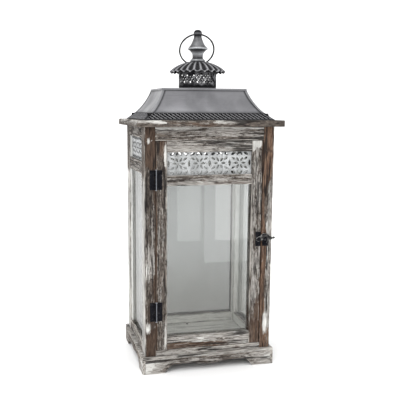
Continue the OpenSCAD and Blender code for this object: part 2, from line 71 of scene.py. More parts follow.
def make_object(name, verts, faces, masks=None):
    mesh = bpy.data.meshes.new(name)
    mesh.from_pydata([tuple(v) for v in verts], [], faces)
    mesh.validate()
    if masks is not None:
        layer = mesh.attributes.new("mask", "FLOAT_COLOR", "POINT")
        for i, m in enumerate(masks):
            layer.data[i].color = m
    for poly in mesh.polygons:
        poly.use_smooth = True
    return link_mesh(name, mesh)


@contextmanager
def edited(obj):
    """The mesh of obj, opened for editing and written back."""
    bm = bmesh.new()
    bm.from_mesh(obj.data)
    yield bm
    bm.to_mesh(obj.data)
    bm.free()


def recalc(obj):
    with edited(obj) as bm:
        bmesh.ops.remove_doubles(bm, verts=bm.verts, dist=1e-7)
        bmesh.ops.recalc_face_normals(bm, faces=bm.faces)


def sharp_by_angle(obj, degrees=40):
    limit = math.radians(degrees)
    with edited(obj) as bm:
        for edge in bm.edges:
            edge.smooth = len(edge.link_faces) == 2 and edge.calc_face_angle(0) < limit


def bake_modifiers(obj):
    graph = bpy.context.evaluated_depsgraph_get()
    mesh = bpy.data.meshes.new_from_object(obj.evaluated_get(graph), depsgraph=graph)
    obj.modifiers.clear()
    obj.data = mesh


def cut_away(obj, *cutters):
    """Cuts the cutters out of obj and deletes them."""
    for cutter in cutters:
        mod = obj.modifiers.new("cut", "BOOLEAN")
        mod.operation = "DIFFERENCE"
        mod.object = cutter
        mod.solver = "EXACT"
    bake_modifiers(obj)
    for cutter in cutters:
        bpy.data.objects.remove(cutter)


def soften(obj, width, segments=2, angle=40):
    mod = obj.modifiers.new("soft_edges", "BEVEL")
    mod.width = width
    mod.segments = segments
    mod.limit_method = "ANGLE"
    mod.angle_limit = math.radians(angle)
    mod.harden_normals = False


def set_material(obj, mat):
    obj.data.materials.clear()
    obj.data.materials.append(mat)


def finish_piece(obj, body, slot, mat, *nodes):
    set_material(obj, mat)
    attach(obj, body)
    if nodes:
        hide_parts(*nodes)
    return obj


# ---------------------------------------------------------------- materials

def new_material(name):
    mat = bpy.data.materials.new(name)
    mat.use_nodes = True
    n = Nodes(mat.node_tree)
    n.tree.nodes.clear()
    out = n.tree.nodes.new("ShaderNodeOutputMaterial")
    bsdf = n.tree.nodes.new("ShaderNodeBsdfPrincipled")
    n.link(out.inputs[0], bsdf.outputs[0])
    return mat, n, bsdf


class Nodes:
    """Short names for the node types that the materials use."""

    def __init__(self, tree):
        self.tree = tree

    def link(self, socket, value):
        if hasattr(value, "is_output"):
            self.tree.links.new(value, socket)
        elif value is not None:
            socket.default_value = value

    def math(self, op, a, b=None):
        n = self.tree.nodes.new("ShaderNodeMath")
        n.operation = op
        self.link(n.inputs[0], a)
        self.link(n.inputs[1], b)
        return n.outputs[0]

    def add(self, a, b):
        return self.math("ADD", a, b)

    def sub(self, a, b):
        return self.math("SUBTRACT", a, b)

    def mul(self, a, b):
        return self.math("MULTIPLY", a, b)

    def absolute(self, a):
        return self.math("ABSOLUTE", a)

    def vmath(self, op, a, b=None):
        n = self.tree.nodes.new("ShaderNodeVectorMath")
        n.operation = op
        self.link(n.inputs[0], a)
        self.link(n.inputs[1], b)
        return n.outputs[0]

    def object_coords(self):
        return self.tree.nodes.new("ShaderNodeTexCoord").outputs["Object"]

    def object_normal(self, axis):
        n = self.tree.nodes.new("ShaderNodeTexCoord")
        split = self.tree.nodes.new("ShaderNodeSeparateXYZ")
        self.tree.links.new(n.outputs["Normal"], split.inputs[0])
        return split.outputs["xyz".index(axis)]

    def mask(self):
        n = self.tree.nodes.new("ShaderNodeAttribute")
        n.attribute_name = "mask"
        s = self.tree.nodes.new("ShaderNodeSeparateColor")
        self.tree.links.new(n.outputs["Color"], s.inputs[0])
        return s.outputs[0], s.outputs[1], s.outputs[2], n.outputs["Alpha"]

    def noise(self, coords, scale=1.0, detail=4.0, rough=0.55, distort=0.0):
        n = self.tree.nodes.new("ShaderNodeTexNoise")
        self.link(n.inputs["Vector"], coords)
        n.inputs["Scale"].default_value = scale
        n.inputs["Detail"].default_value = detail
        n.inputs["Roughness"].default_value = rough
        n.inputs["Distortion"].default_value = distort
        return n.outputs["Fac"]

    def scaled(self, coords, x, y, z):
        n = self.tree.nodes.new("ShaderNodeMapping")
        self.link(n.inputs["Vector"], coords)
        n.inputs["Scale"].default_value = (x, y, z)
        return n.outputs[0]

    def step(self, value, lo, hi, out_lo=0.0, out_hi=1.0):
        n = self.tree.nodes.new("ShaderNodeMapRange")
        n.interpolation_type = "SMOOTHSTEP"
        self.link(n.inputs[0], value)
        n.inputs[1].default_value = lo
        n.inputs[2].default_value = hi
        n.inputs[3].default_value = out_lo
        n.inputs[4].default_value = out_hi
        return n.outputs[0]

    def mix(self, fac, a, b, blend="MIX"):
        n = self.tree.nodes.new("ShaderNodeMix")
        n.data_type = "RGBA"
        n.blend_type = blend
        self.link(n.inputs[0], fac)
        self.link(n.inputs[6], a)
        self.link(n.inputs[7], b)
        return n.outputs[2]

    def bump(self, height, distance, strength):
        n = self.tree.nodes.new("ShaderNodeBump")
        n.inputs["Strength"].default_value = strength
        n.inputs["Distance"].default_value = distance
        self.link(n.inputs["Height"], height)
        return n.outputs[0]


def rgb(r, g, b):
    """A colour given as seen on a screen, from 0 to 255, as linear numbers."""
    def one(c):
        c /= 255.0
        return c / 12.92 if c <= 0.04045 else ((c + 0.055) / 1.055) ** 2.4
    return (one(r), one(g), one(b), 1.0)


def wood_material(name, axis, wash=0.5, thick=0.0, lift=1.0):
    """Old board whose grain runs along axis. wash is how much thin grey-white paint is left and
    thick how much solid paint. lift lightens the bare brown. The mesh's mask gives edge wear, whose
    values below 0 darken to grime at butted joints and to painted shade on gap faces and the cornice's
    foot, then bare brown patches, white patches and an offset for each board."""
    mat, n, bsdf = new_material(name)
    edge, bare, white, board = n.mask()
    shift = n.tree.nodes.new("ShaderNodeCombineXYZ")
    for i, k in enumerate((3.1, 5.7, 4.3)):
        n.link(shift.inputs[i], n.mul(board, k))
    co = n.vmath("ADD", n.object_coords(), shift.outputs[0])

    def stretched(long, cross):
        return n.scaled(co, *[long if a == axis else cross for a in "xyz"])

    broad = n.noise(stretched(13, 75), 1, 3, 0.5, 0.5)
    streak = n.noise(stretched(30, 400), 1, 6, 0.75, 0.3)
    fibre = n.noise(stretched(90, 850), 1, 4, 0.7, 0.2)
    speck = n.noise(stretched(190, 480), 1, 4, 0.75, 0.5)
    flake = n.noise(stretched(45, 240), 1, 6, 0.72, 0.8)
    rings = n.math("PINGPONG", n.mul(n.noise(stretched(6, 75), 1, 2, 0.5, 0.5), 8), 0.5)
    split = n.absolute(n.sub(n.noise(stretched(8, 150), 1, 2, 0.45, 0.2), 0.5))

    # bare wood: grey with age, brown where the paint came off late
    bare_at = n.add(bare, n.mul(n.sub(broad, 0.5), 1.6))
    bare_fac = n.step(bare_at, 0.3, 0.7)
    dark_line = n.add(n.mul(fibre, 0.5), n.mul(speck, 0.5))
    grey = n.mix(n.step(dark_line, 0.4, 0.58), rgb(46, 41, 38), rgb(112, 103, 95))
    brown = n.mix(n.step(n.add(n.mul(fibre, 0.6), n.mul(streak, 0.4)), 0.38, 0.58),
                  rgb(54 * lift, 38 * lift, 30 * lift), rgb(98 * lift, 77 * lift, 62 * lift))
    col = n.mix(n.mul(bare_fac, 0.9), grey, brown)
    col = n.mix(n.step(rings, 0.0, 0.13, 0.65, 0.0), col, rgb(38, 32, 29))

    # thin grey wash that has stayed between the fibres
    left = n.add(n.mul(streak, 0.5), n.mul(broad, 0.26))
    left = n.add(left, n.mul(speck, 0.24))
    left = n.sub(left, n.mul(bare_fac, 0.085))
    left = n.add(left, n.mul(white, 0.2))
    wash_at = 0.56 - 0.12 * wash
    wash_fac = n.step(left, wash_at - 0.02, wash_at + 0.026, 0.0, 0.82)
    col = n.mix(wash_fac, col, n.mix(n.step(fibre, 0.4, 0.6), rgb(128, 123, 118), rgb(184, 181, 176)))

    # solid paint in ragged flakes
    solid = n.add(n.mul(flake, 0.62), n.mul(broad, 0.38))
    solid = n.add(solid, n.mul(white, 0.24))
    solid = n.sub(solid, n.mul(bare_fac, 0.06))
    solid_at = 0.63 - 0.1 * thick
    solid_fac = n.step(solid, solid_at, solid_at + 0.022, 0.0, 0.93)
    paint = n.mix(n.step(fibre, 0.35, 0.65), rgb(184, 182, 177), rgb(216, 215, 211))
    # where white passes 1 the paint is fresher and whiter: real on the white patches outside, and on the
    # inside faces also a painted light that brightens the dim inside
    fresh_and_brightened = n.step(white, 1.0, 1.3)
    fresh_brightened_paint = n.mix(n.step(fibre, 0.35, 0.65), rgb(216, 216, 212), rgb(240, 240, 237))
    paint = n.mix(fresh_and_brightened, paint, fresh_brightened_paint)
    col = n.mix(solid_fac, col, paint)

    # rubbed edges with paint on them in places, dark joints and painted shade in gaps, cracks and grime
    rub = n.step(n.add(edge, n.mul(n.sub(flake, 0.5), 2.0)), 0.5, 0.75)
    col = n.mix(n.mul(rub, 0.75), col, n.mix(n.step(streak, 0.42, 0.52), rgb(58, 49, 43), rgb(186, 181, 174)))
    # edge mask below 0: near-black grime at butted joints, and painted shade where the paint functions set it
    # for gap faces and the cornice's foot
    col = n.mix(n.step(edge, -0.75, -0.2, 0.8, 0.0), col, rgb(34, 29, 26))
    open_grain = n.step(n.noise(stretched(16, 90), 1, 2, 0.5), 0.42, 0.54)
    crack = n.mul(n.step(split, 0.018, 0.042, 1.0, 0.0), open_grain)
    crack = n.mul(crack, n.step(white, 0.9, 1.3, 1.0, 0.35))
    col = n.mix(n.mul(crack, 0.9), col, rgb(28, 24, 22))
    grime = n.step(n.noise(co, 14, 4, 0.6), 0.4, 0.65, 0.0, 0.32)
    grime = n.mul(grime, n.step(white, 0.9, 1.3, 1.0, 0.25))
    col = n.mix(grime, col, rgb(66, 60, 56), "MULTIPLY")
    n.link(bsdf.inputs["Base Color"], col)

    rough = n.sub(n.step(fibre, 0.3, 0.7, 0.95, 0.76), n.mul(solid_fac, 0.14))
    n.link(bsdf.inputs["Roughness"], rough)
    bsdf.inputs["Specular IOR Level"].default_value = 0.25
    height = n.add(n.mul(fibre, 0.45), n.mul(streak, 0.5))
    height = n.mul(height, n.step(white, 0.8, 1.2, 1.0, 0.2))
    height = n.add(height, n.mul(solid_fac, 0.4))
    height = n.sub(height, n.mul(crack, 1.0))
    n.link(bsdf.inputs["Normal"], n.bump(height, 0.0008, 0.8))
    return mat


def fret_material(name, axis):
    """Chalky grey-white paint, patchy and rubbed, over a pierced panel that faces axis. The sides of
    its cuts are darkened, a painted shade for the shadowed holes."""
    mat, n, bsdf = new_material(name)
    co = n.object_coords()
    patch = n.noise(co, 55, 4, 0.6)
    fine = n.noise(co, 900, 4, 0.7)
    speck = n.noise(co, 330, 5, 0.7, 0.6)
    col = n.mix(n.step(patch, 0.36, 0.64), rgb(148, 150, 150), rgb(186, 188, 189))
    col = n.mix(n.step(speck, 0.54, 0.64, 0.0, 0.7), col, rgb(118, 115, 111))
    worn = n.add(speck, n.mul(patch, 0.25))
    col = n.mix(n.step(worn, 0.7, 0.76, 0.0, 0.7), col, rgb(78, 70, 64))
    # painted shade: faces turned away from axis, the walls of the cuts, go nearly black
    facing = n.absolute(n.object_normal(axis))
    col = n.mix(n.step(facing, 0.3, 0.8, 0.85, 0.0), col, rgb(44, 42, 41))
    n.link(bsdf.inputs["Base Color"], col)
    n.link(bsdf.inputs["Roughness"], n.step(fine, 0.2, 0.8, 0.95, 0.7))
    height = n.add(fine, n.mul(speck, 1.4))
    n.link(bsdf.inputs["Normal"], n.bump(height, 0.0003, 0.6))
    return mat


def zinc_material(name, lo, hi, light, dark, metallic=0.5, rough=(0.36, 0.52), stretch=(30, 30, 30),
                  specular=0.5):
    """Dull grey sheet or casting. The mesh's mask lightens its ridges and darkens its hollows: painted
    highlight and painted shade, with some rubbing and grime."""
    mat, n, bsdf = new_material(name)
    ridge, hollow = n.mask()[:2]
    co = n.object_coords()
    cloud = n.noise(n.scaled(co, *stretch), 1, 4, 0.5, 0.3)
    fine = n.noise(co, 700, 4, 0.65)
    drag = n.noise(n.scaled(co, 20, 20, 420), 1, 4, 0.6)
    col = n.mix(n.step(cloud, 0.32, 0.68), lo, hi)
    col = n.mix(n.step(fine, 0.45, 0.7, 0.0, 0.25), col, hi)
    col = n.mix(n.step(drag, 0.52, 0.66, 0.0, 0.35), col, lo)
    # painted shade with some grime: the hollow mask darkens overhangs, grooves, creases and undersides
    shade_and_grime = n.mul(hollow, n.step(n.noise(co, 190, 3, 0.6), 0.25, 0.5, 0.75, 1.0))
    col = n.mix(shade_and_grime, col, dark)
    # painted highlight with some rubbing: the ridge mask lightens crests, rims and seams
    rubbed = n.mul(ridge, n.step(fine, 0.35, 0.6, 0.65, 1.0))
    col = n.mix(rubbed, col, light)
    n.link(bsdf.inputs["Base Color"], col)
    gloss = n.add(cloud, n.mul(fine, 0.3))
    gloss = n.sub(gloss, n.mul(shade_and_grime, 0.3))
    n.link(bsdf.inputs["Roughness"], n.step(gloss, 0.4, 0.9, rough[1], rough[0]))
    bsdf.inputs["Metallic"].default_value = metallic
    bsdf.inputs["Specular IOR Level"].default_value = specular
    height = n.add(n.mul(cloud, 0.6), n.mul(fine, 0.2))
    n.link(bsdf.inputs["Normal"], n.bump(height, 0.0003, 0.4))
    return mat


def iron_material(name, lo, hi, rough=0.45, worn=0.35, barrel=None, upper=0.0):
    """Black iron. barrel, if given, is the place (x, y) of a hinge barrel's crest, where a painted
    highlight runs down it. upper lightens what faces up, a painted highlight."""
    mat, n, bsdf = new_material(name)
    co = n.object_coords()
    cloud = n.noise(co, 240, 4, 0.6)
    fine = n.noise(co, 1500, 3, 0.6)
    col = n.mix(n.step(cloud, 0.3, 0.7), lo, hi)
    col = n.mix(n.step(n.add(cloud, n.mul(fine, 0.35)), 0.75, 0.9, 0.0, worn), col, rgb(140, 138, 134))
    # painted highlight: what faces up is lightened
    if upper:
        lit = n.step(n.add(n.object_normal("z"), n.mul(n.sub(cloud, 0.5), 1.2)), 0.0, 0.6, 0.0, upper)
        col = n.mix(lit, col, rgb(212, 212, 208))
    # painted highlight: a bright line down the barrel's crest
    if barrel:
        split = n.tree.nodes.new("ShaderNodeSeparateXYZ")
        n.link(split.inputs[0], co)
        across = n.absolute(n.sub(split.outputs[0], barrel[0]))
        narrow = n.step(across, 0.0003, 0.0008, 1.0, 0.0)
        proud = n.step(split.outputs[1], barrel[1] + 0.0004, barrel[1] + 0.0009, 1.0, 0.0)
        crest = n.mul(narrow, proud)
        col = n.mix(n.mul(crest, n.step(cloud, 0.3, 0.5, 0.6, 1.0)), col, rgb(118, 120, 126))
    n.link(bsdf.inputs["Base Color"], col)
    n.link(bsdf.inputs["Roughness"], n.step(fine, 0.2, 0.8, rough + 0.15, rough - 0.08))
    bsdf.inputs["Metallic"].default_value = 0.65
    bsdf.inputs["Specular IOR Level"].default_value = 0.2
    n.link(bsdf.inputs["Normal"], n.bump(n.add(cloud, n.mul(fine, 0.5)), 0.00025, 0.5))
    return mat


def glass_material(name, clear, dusty, shiny=0.8):
    """Thin clear pane. clear is the light that it lets through, dusty how much dust lies on it at
    its thickest."""
    mat, n, bsdf = new_material(name)
    out = bsdf.outputs[0].links[0].to_node
    n.tree.nodes.remove(bsdf)
    co = n.object_coords()
    through = n.tree.nodes.new("ShaderNodeBsdfTransparent")
    gloss = n.tree.nodes.new("ShaderNodeBsdfGlossy")
    gloss.inputs["Roughness"].default_value = 0.03
    dust = n.tree.nodes.new("ShaderNodeBsdfDiffuse")
    cloud = n.noise(n.scaled(co, 16, 16, 9), 1, 4, 0.6)
    fine = n.noise(co, 800, 3, 0.6)
    n.link(dust.inputs["Color"], n.mix(fine, rgb(176, 178, 175), rgb(206, 208, 205)))
    amount = n.step(n.add(cloud, n.mul(fine, 0.15)), 0.35, 0.8, 0.3 * dusty, dusty)
    split = n.tree.nodes.new("ShaderNodeSeparateXYZ")
    n.link(split.inputs[0], co)
    # painted shade: the pane lets less light through towards its foot, darkening the view through the lower
    # glass
    low = n.step(n.add(split.outputs[2], n.mul(cloud, 0.05)), 0.07, 0.2, 1.0, 0.0)
    foot_dimming = 0.84 if clear < 0.9 else 0.985
    upper_tint = (clear, clear * 1.01, clear * 1.005, 1)
    lower_tint = (clear * foot_dimming, clear * foot_dimming, clear * foot_dimming * 0.985, 1)
    n.link(through.inputs["Color"], n.mix(low, upper_tint, lower_tint))
    pane = n.tree.nodes.new("ShaderNodeMixShader")
    n.link(pane.inputs[0], amount)
    n.link(pane.inputs[1], through.outputs[0])
    n.link(pane.inputs[2], dust.outputs[0])
    fresnel = n.tree.nodes.new("ShaderNodeFresnel")
    fresnel.inputs["IOR"].default_value = 1.5
    shine = n.tree.nodes.new("ShaderNodeMixShader")
    n.link(shine.inputs[0], n.mul(fresnel.outputs[0], shiny))
    n.link(shine.inputs[1], pane.outputs[0])
    n.link(shine.inputs[2], gloss.outputs[0])
    n.link(out.inputs[0], shine.outputs[0])
    return mat


WOOD = {axis: wood_material("washed_wood_" + axis, axis, 0.5) for axis in "xyz"}
BROWN_WOOD = {axis: wood_material("brown_wood_" + axis, axis, 0.15) for axis in "xyz"}
LEFT_POST_WOOD = wood_material("brown_wood_deep", "z", 0.15, lift=0.82)
RIGHT_POST_WOOD = wood_material("brown_wood_light", "z", 0.15, lift=1.22)
DARK_WOOD = wood_material("dark_wood", "x", 0.1, 0.1)
PALE_WOOD = {axis: wood_material("pale_wood_" + axis, axis, 1.0, 0.7) for axis in "xyz"}
FRET = {axis: fret_material("chalk_white_fretwork_" + axis, axis) for axis in "xy"}
# The light colours of the metal materials below are painted highlight, their darkest colours painted shade
# with some grime; the meshes' masks lay them on.
PALE_METAL = rgb(176, 177, 179)
BLACK_METAL = rgb(14, 14, 16)
ZINC = zinc_material("zinc_sheet", rgb(104, 104, 107), rgb(126, 126, 129), PALE_METAL, rgb(40, 40, 42))
CAST = zinc_material("cast_grey", rgb(66, 65, 66), rgb(104, 104, 106), rgb(196, 199, 202), BLACK_METAL,
                     0.5, (0.34, 0.52), (110, 110, 110))
DARK = zinc_material("dark_metal", rgb(20, 20, 23), rgb(40, 40, 44), rgb(168, 168, 171), BLACK_METAL,
                     0.35, (0.4, 0.58), (150, 150, 150), 0.15)
IRON = iron_material("black_iron", rgb(12, 12, 17), rgb(22, 22, 28), worn=0.15)
PIN_X = (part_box("hinge_pins")[0].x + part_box("hinge_pins")[1].x) / 2
# hinge_iron paints a highlight down the barrel's crest, hook_iron a highlight on what faces up
HINGE_IRON = iron_material("hinge_iron", rgb(12, 12, 17), rgb(22, 22, 28), worn=0.12,
                           barrel=(PIN_X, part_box("hinge_post_leaves")[0].y))
HOOK_IRON = iron_material("hook_iron", rgb(24, 24, 26), rgb(64, 63, 62), 0.35, 0.4, upper=0.9)
WIRE = iron_material("ring_wire", rgb(26, 26, 28), rgb(52, 52, 55), 0.4, 0.4)
BAND = zinc_material("band_metal", rgb(16, 16, 18), rgb(30, 30, 33), rgb(160, 160, 163), rgb(3, 3, 4),
                     0.1, (0.5, 0.65), (150, 150, 150), 0.05)
STEEL = iron_material("pin_steel", rgb(120, 121, 126), rgb(165, 166, 170), 0.35, 0.5)
DOOR_GLASS = glass_material("door_pane", 0.985, 0.035)
SIDE_GLASS = glass_material("side_pane", 0.985, 0.04)
# painted shade: the back pane passes only half the light, darkening the view through it
BACK_GLASS = glass_material("back_pane", 0.5, 0.08, 0.3)


# ---------------------------------------------------------------- worn boards

# The two directions across a board and the one along it, for each way its grain can run
AXES = {"x": (1, 2, 0), "y": (2, 0, 1), "z": (0, 1, 2)}


def section(w, h, cuts, r, step):
    """Points round a w by h section, each (u, v, du, dv, corner, edge): the point is (u, v) plus the
    corner's radius times (du, dv). cuts are grooves (side, low, high, depth), side 0 to 3 counted
    round from the low-v side."""
    corners = [(0, 0), (w, 0), (w, h), (0, h)]
    dirs = [(1, 0), (0, 1), (-1, 0), (0, -1)]
    points = []
    for k in range(4):
        cu, cv = corners[k]
        d1, d2 = dirs[k - 1], dirs[k]
        for a in (0, 30, 60, 90):
            s, c = math.sin(math.radians(a)), math.cos(math.radians(a))
            du, dv = [-d1[i] * (1 - s) + d2[i] * (1 - c) for i in range(2)]
            points.append((cu, cv, du, dv, k, 1.0))
        length = w if k % 2 == 0 else h
        groove = sorted(c for c in cuts if c[0] == k)
        end = length - 2.6 * r
        cursor = 2.6 * r
        run = []
        for _, lo, hi, depth in groove:
            count = max(1, int((lo - cursor) / step))
            run += [(cursor + (lo - cursor) * i / count, 0.0) for i in range(count)]
            run += [(lo, 0.0), (lo, depth), (hi, depth), (hi, 0.0)]
            cursor = hi
        count = max(1, int((end - cursor) / step))
        first = 1 if groove else 0
        run += [(cursor + (end - cursor) * i / count, 0.0) for i in range(first, count + 1)]
        if end <= cursor:
            run = [(length / 2, 0.0)]
        inward = (-d2[1], d2[0])
        for t, depth in run:
            u = cu + d2[0] * t + inward[0] * depth
            v = cv + d2[1] * t + inward[1] * depth
            points.append((u, v, 0, 0, k, 0.0))
    return points


def side_of(axis, face):
    """Which side of the section a face such as '-x' is, counted as section() does."""
    if "xyz".index(face[1]) == AXES[axis][1]:
        return 0 if face[0] == "-" else 2
    return 3 if face[0] == "-" else 1


def board(name, box, axis, seed, cuts=(), r=0.0008, step=0.003, lower=None, paint=None, wear=1.0,
          end_r=0.0004, tone=(0.0, 0.0), butted=True):
    """A board along axis that fills box but for its worn, uneven edges. cuts are grooves
    (face, low, high, depth). lower(a) is the height of its lower edge at a along it. paint(co)
    gives bare and white amounts and may give the wear, which below 0 darkens the wood, as painted shade
    on gap faces and along the cornice's foot; tone adds to the first two. butted ends
    are dark with the grime of the joint, free ends are rubbed."""
    lo, hi = box
    u, v, a = AXES[axis]
    w, h = hi[u] - lo[u], hi[v] - lo[v]
    local = []
    for face, c0, c1, depth in cuts:
        side = side_of(axis, face)
        base, size = (lo[u], w) if side in (0, 2) else (lo[v], h)
        s0, s1 = c0 - base, c1 - base
        if side in (2, 3):
            s0, s1 = size - s1, size - s0
        local.append((side, s0, s1, depth))
    points = section(w, h, local, r, step)
    length = hi[a] - lo[a]
    count = max(2, int(length / step))
    stations = [(0.0, end_r), (end_r * 0.3, end_r * 0.3)]
    stations += [(end_r + (length - 2 * end_r) * i / count, 0.0) for i in range(count + 1)]
    stations += [(length - end_r * 0.3, end_r * 0.3), (length, end_r)]
    verts, masks = [], []
    for along, inset in stations:
        pos = lo[a] + along
        radius = []
        for k in range(4):
            n1 = grain_noise((pos * 60, k * 9.0, seed), 1.0)
            n2 = grain_noise((pos * 190, k * 5.0 + 40, seed), 1.0)
            radius.append(r * min(2.4, 0.6 + wear * (0.9 * max(0.0, n1) + 2.6 * max(0.0, n2 - 0.25))))
        for pu, pv, du, dv, k, edge in points:
            pu, pv = pu + du * radius[k], pv + dv * radius[k]
            pu = w / 2 + (pu - w / 2) * (1 - 2 * inset / w)
            pv = h / 2 + (pv - h / 2) * (1 - 2 * inset / h)
            co = [0.0, 0.0, 0.0]
            co[u], co[v], co[a] = lo[u] + pu, lo[v] + pv, pos
            if lower is not None:
                low = lower(pos)
                co[2] = hi[2] - (hi[2] - co[2]) * (hi[2] - low) / (hi[2] - lo[2])
            if edge == 0.0 and inset == 0.0:
                sink = 0.00016 * (0.5 + 0.5 * grain_noise(co, 90, seed))
                mid = Vector((w / 2 - pu, h / 2 - pv))
                if mid.length > 0:
                    mid.normalize()
                    co[u] += mid.x * sink
                    co[v] += mid.y * sink
            made = paint(co) if paint else (0.0, 0.0)
            worn = (-1.0 if butted else 1.0) if inset > 0 else edge
            if len(made) > 2:
                worn = made[2]
            verts.append(co)
            masks.append((worn, made[0] + tone[0], made[1] + tone[1], seed % 1.0))
    n = len(points)
    faces = [tuple(range(n - 1, -1, -1))]
    for i in range(len(stations) - 1):
        for j in range(n):
            k = (j + 1) % n
            faces.append((i * n + j, i * n + k, (i + 1) * n + k, (i + 1) * n + j))
    faces.append(tuple((len(stations) - 1) * n + j for j in range(n)))
    obj = make_object(name, verts, faces, masks)
    sharp_by_angle(obj, 50)
    return obj


def spot(co, centre, size):
    """1 at centre, falling to 0 at the edge of an egg of that size."""
    d = sum(((c - m) / s) ** 2 for c, m, s in zip(co, centre, size))
    return max(0.0, 1.0 - d)


# Groove for a pane or panel: how far it starts and ends behind the outer face, and its depth
GROOVE = (0.0042, 0.0068)
GROOVE_DEEP = 0.004
# Half the case's width
CASE_HALF = 0.09
# A post's point is on a face that looks into the case if it is nearer the middle than INNER on one
# axis and not past COVERED on either. Past OUTER_X it is on the post's outer side.
INNER_X, INNER_Y = 0.0762, 0.0572
COVERED_X, COVERED_Y = 0.0885, 0.0625
OUTER_X = 0.0895
# Where the front faces are in Y, for the paint patches
FRONT_Y = -0.071

# Rails, with whether the lower and the upper edge is grooved
RAILS = (("top_rail", True, False), ("mid_rail", True, True), ("bottom_rail", False, True))


def rail_cuts(low, high, groove):
    """Grooves for a pane or panel in the lower and upper edge of a rail."""
    edges = [face for face, cut in (("-z", low), ("+z", high)) if cut]
    return [(face, groove[0], groove[1], GROOVE_DEEP) for face in edges]


def node_box(name):
    lo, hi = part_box(name)
    return list(lo), list(hi)


def build_case():
    """Posts and rails. A post is bare brown near its ends, and pale on its sides and towards the inside."""
    def post_paint(sx, sy):
        def paint(co):
            x, y, z = co
            within = (abs(x) < INNER_X or abs(y) < INNER_Y) and abs(x) < COVERED_X and abs(y) < COVERED_Y
            outer = abs(x) > OUTER_X
            # painted shade: a post's side face lying outside the panes, in the gap beside the door, is bare
            # wood darkened to near black
            if abs(x) < INNER_X and not within:
                return 0.6, -0.6, -1.0
            if within or outer:
                return 0.0, 1.5 if within else 0.9 * (1 - ease(0.262, 0.275, z))
            n1 = grain_noise((x * 40, y * 40, z * 16), 1.0, sx + 2 * sy)
            top = ease(0.262, 0.28, z + n1 * 0.02)
            low = 1 - ease(0.05, 0.062, z + n1 * 0.012)
            bare = max(top * 0.95, low, 0.4)
            white = 0.1 + 0.7 * n1 if top + low < 0.5 else 0.0
            if sy < 0 and sx < 0:
                top_curl = 1.2 * spot(co, (-0.0835, FRONT_Y, 0.318), (0.0035, 0.01, 0.006))
                white = max(white - 0.6 * low, top_curl)
                white = max(white, 1.3 * spot(co, (-0.086, FRONT_Y, 0.062), (0.006, 0.01, 0.011)))
                white = max(white, 0.9 * spot(co, (-0.086, FRONT_Y, 0.145), (0.004, 0.01, 0.02)))
            if sy < 0 and sx > 0:
                stripe = ease(0.0, 0.003, 0.0825 + 0.002 * n1 - x)
                bare = max(0.8 * stripe, top * 0.7, low)
                white = (-0.5 * stripe + 0.4 * (1 - stripe)) * (1 - top) + 0.2 * top
                white = max(white, 1.3 * spot(co, (0.083, FRONT_Y, 0.06), (0.006, 0.012, 0.022)))
            return bare, white
        return paint

    def inner_paint(co):
        within = abs(co[0]) < 0.0765 and abs(co[1]) < 0.0575
        return 0.0, 1.3 if within else 0.0

    for sx, wx in ((-1, "left"), (1, "right")):
        for sy, wy in ((-1, "front"), (1, "back")):
            name = "post_%s_%s" % (wy, wx)
            lo, hi = node_box(name)
            inner_y = "+y" if sy < 0 else "-y"
            gx = sorted(sx * (CASE_HALF - g) for g in GROOVE)
            cuts = [(inner_y, gx[0], gx[1], GROOVE_DEEP)]
            if sy > 0:
                cuts.append(("-x" if sx > 0 else "+x", hi[1] - GROOVE[1], hi[1] - GROOVE[0], GROOVE_DEEP))
            seed = 0.37 + sx * 0.21 + sy * 0.13
            obj = board(name + "_worn", (lo, hi), "z", seed, cuts, paint=post_paint(sx, sy))
            mat = BROWN_WOOD["z"] if sy > 0 else LEFT_POST_WOOD if sx < 0 else RIGHT_POST_WOOD
            finish_piece(obj, "case", "aged_wood_brown", mat, name)

    seed = 1.13
    for side, turn in (("back", "y"), ("left", "x"), ("right", "x")):
        for rail, low, high in RAILS:
            name = "%s_%s" % (side, rail)
            lo, hi = node_box(name)
            seed += 0.37
            if turn == "y":
                g = (hi[1] - GROOVE[1], hi[1] - GROOVE[0])
                axis = "x"
            else:
                s = -1 if side == "left" else 1
                edge = lo[0] if s < 0 else hi[0]
                g = sorted((edge - s * GROOVE[0], edge - s * GROOVE[1]))
                axis = "y"
            cuts = rail_cuts(low, high, g)
            obj = board(name + "_worn", (lo, hi), axis, seed, cuts, paint=inner_paint)
            finish_piece(obj, "case", "aged_wood_washed", WOOD[axis], name)

    def top_paint(co):
        z = co[2]
        white = 0.9 * ease(0.333, 0.3355, z + 0.0015 * grain_noise(co, 80))
        return 0.0, white

    def low_paint(co):
        return 0.0, 0.45 + 0.5 * grain_noise((co[0] * 22, 0.0, co[2] * 60), 1.0, 6.1)

    for name, paint in (("front_top_rail", top_paint), ("front_bottom_rail", low_paint)):
        seed += 0.31
        obj = board(name + "_worn", node_box(name), "x", seed, paint=paint)
        finish_piece(obj, "case", "aged_wood_washed", WOOD["x"], name)
    obj = board("door_stop_worn", node_box("door_stop"), "z", 2.9)
    finish_piece(obj, "case", "aged_wood_washed", WOOD["z"], "door_stop")


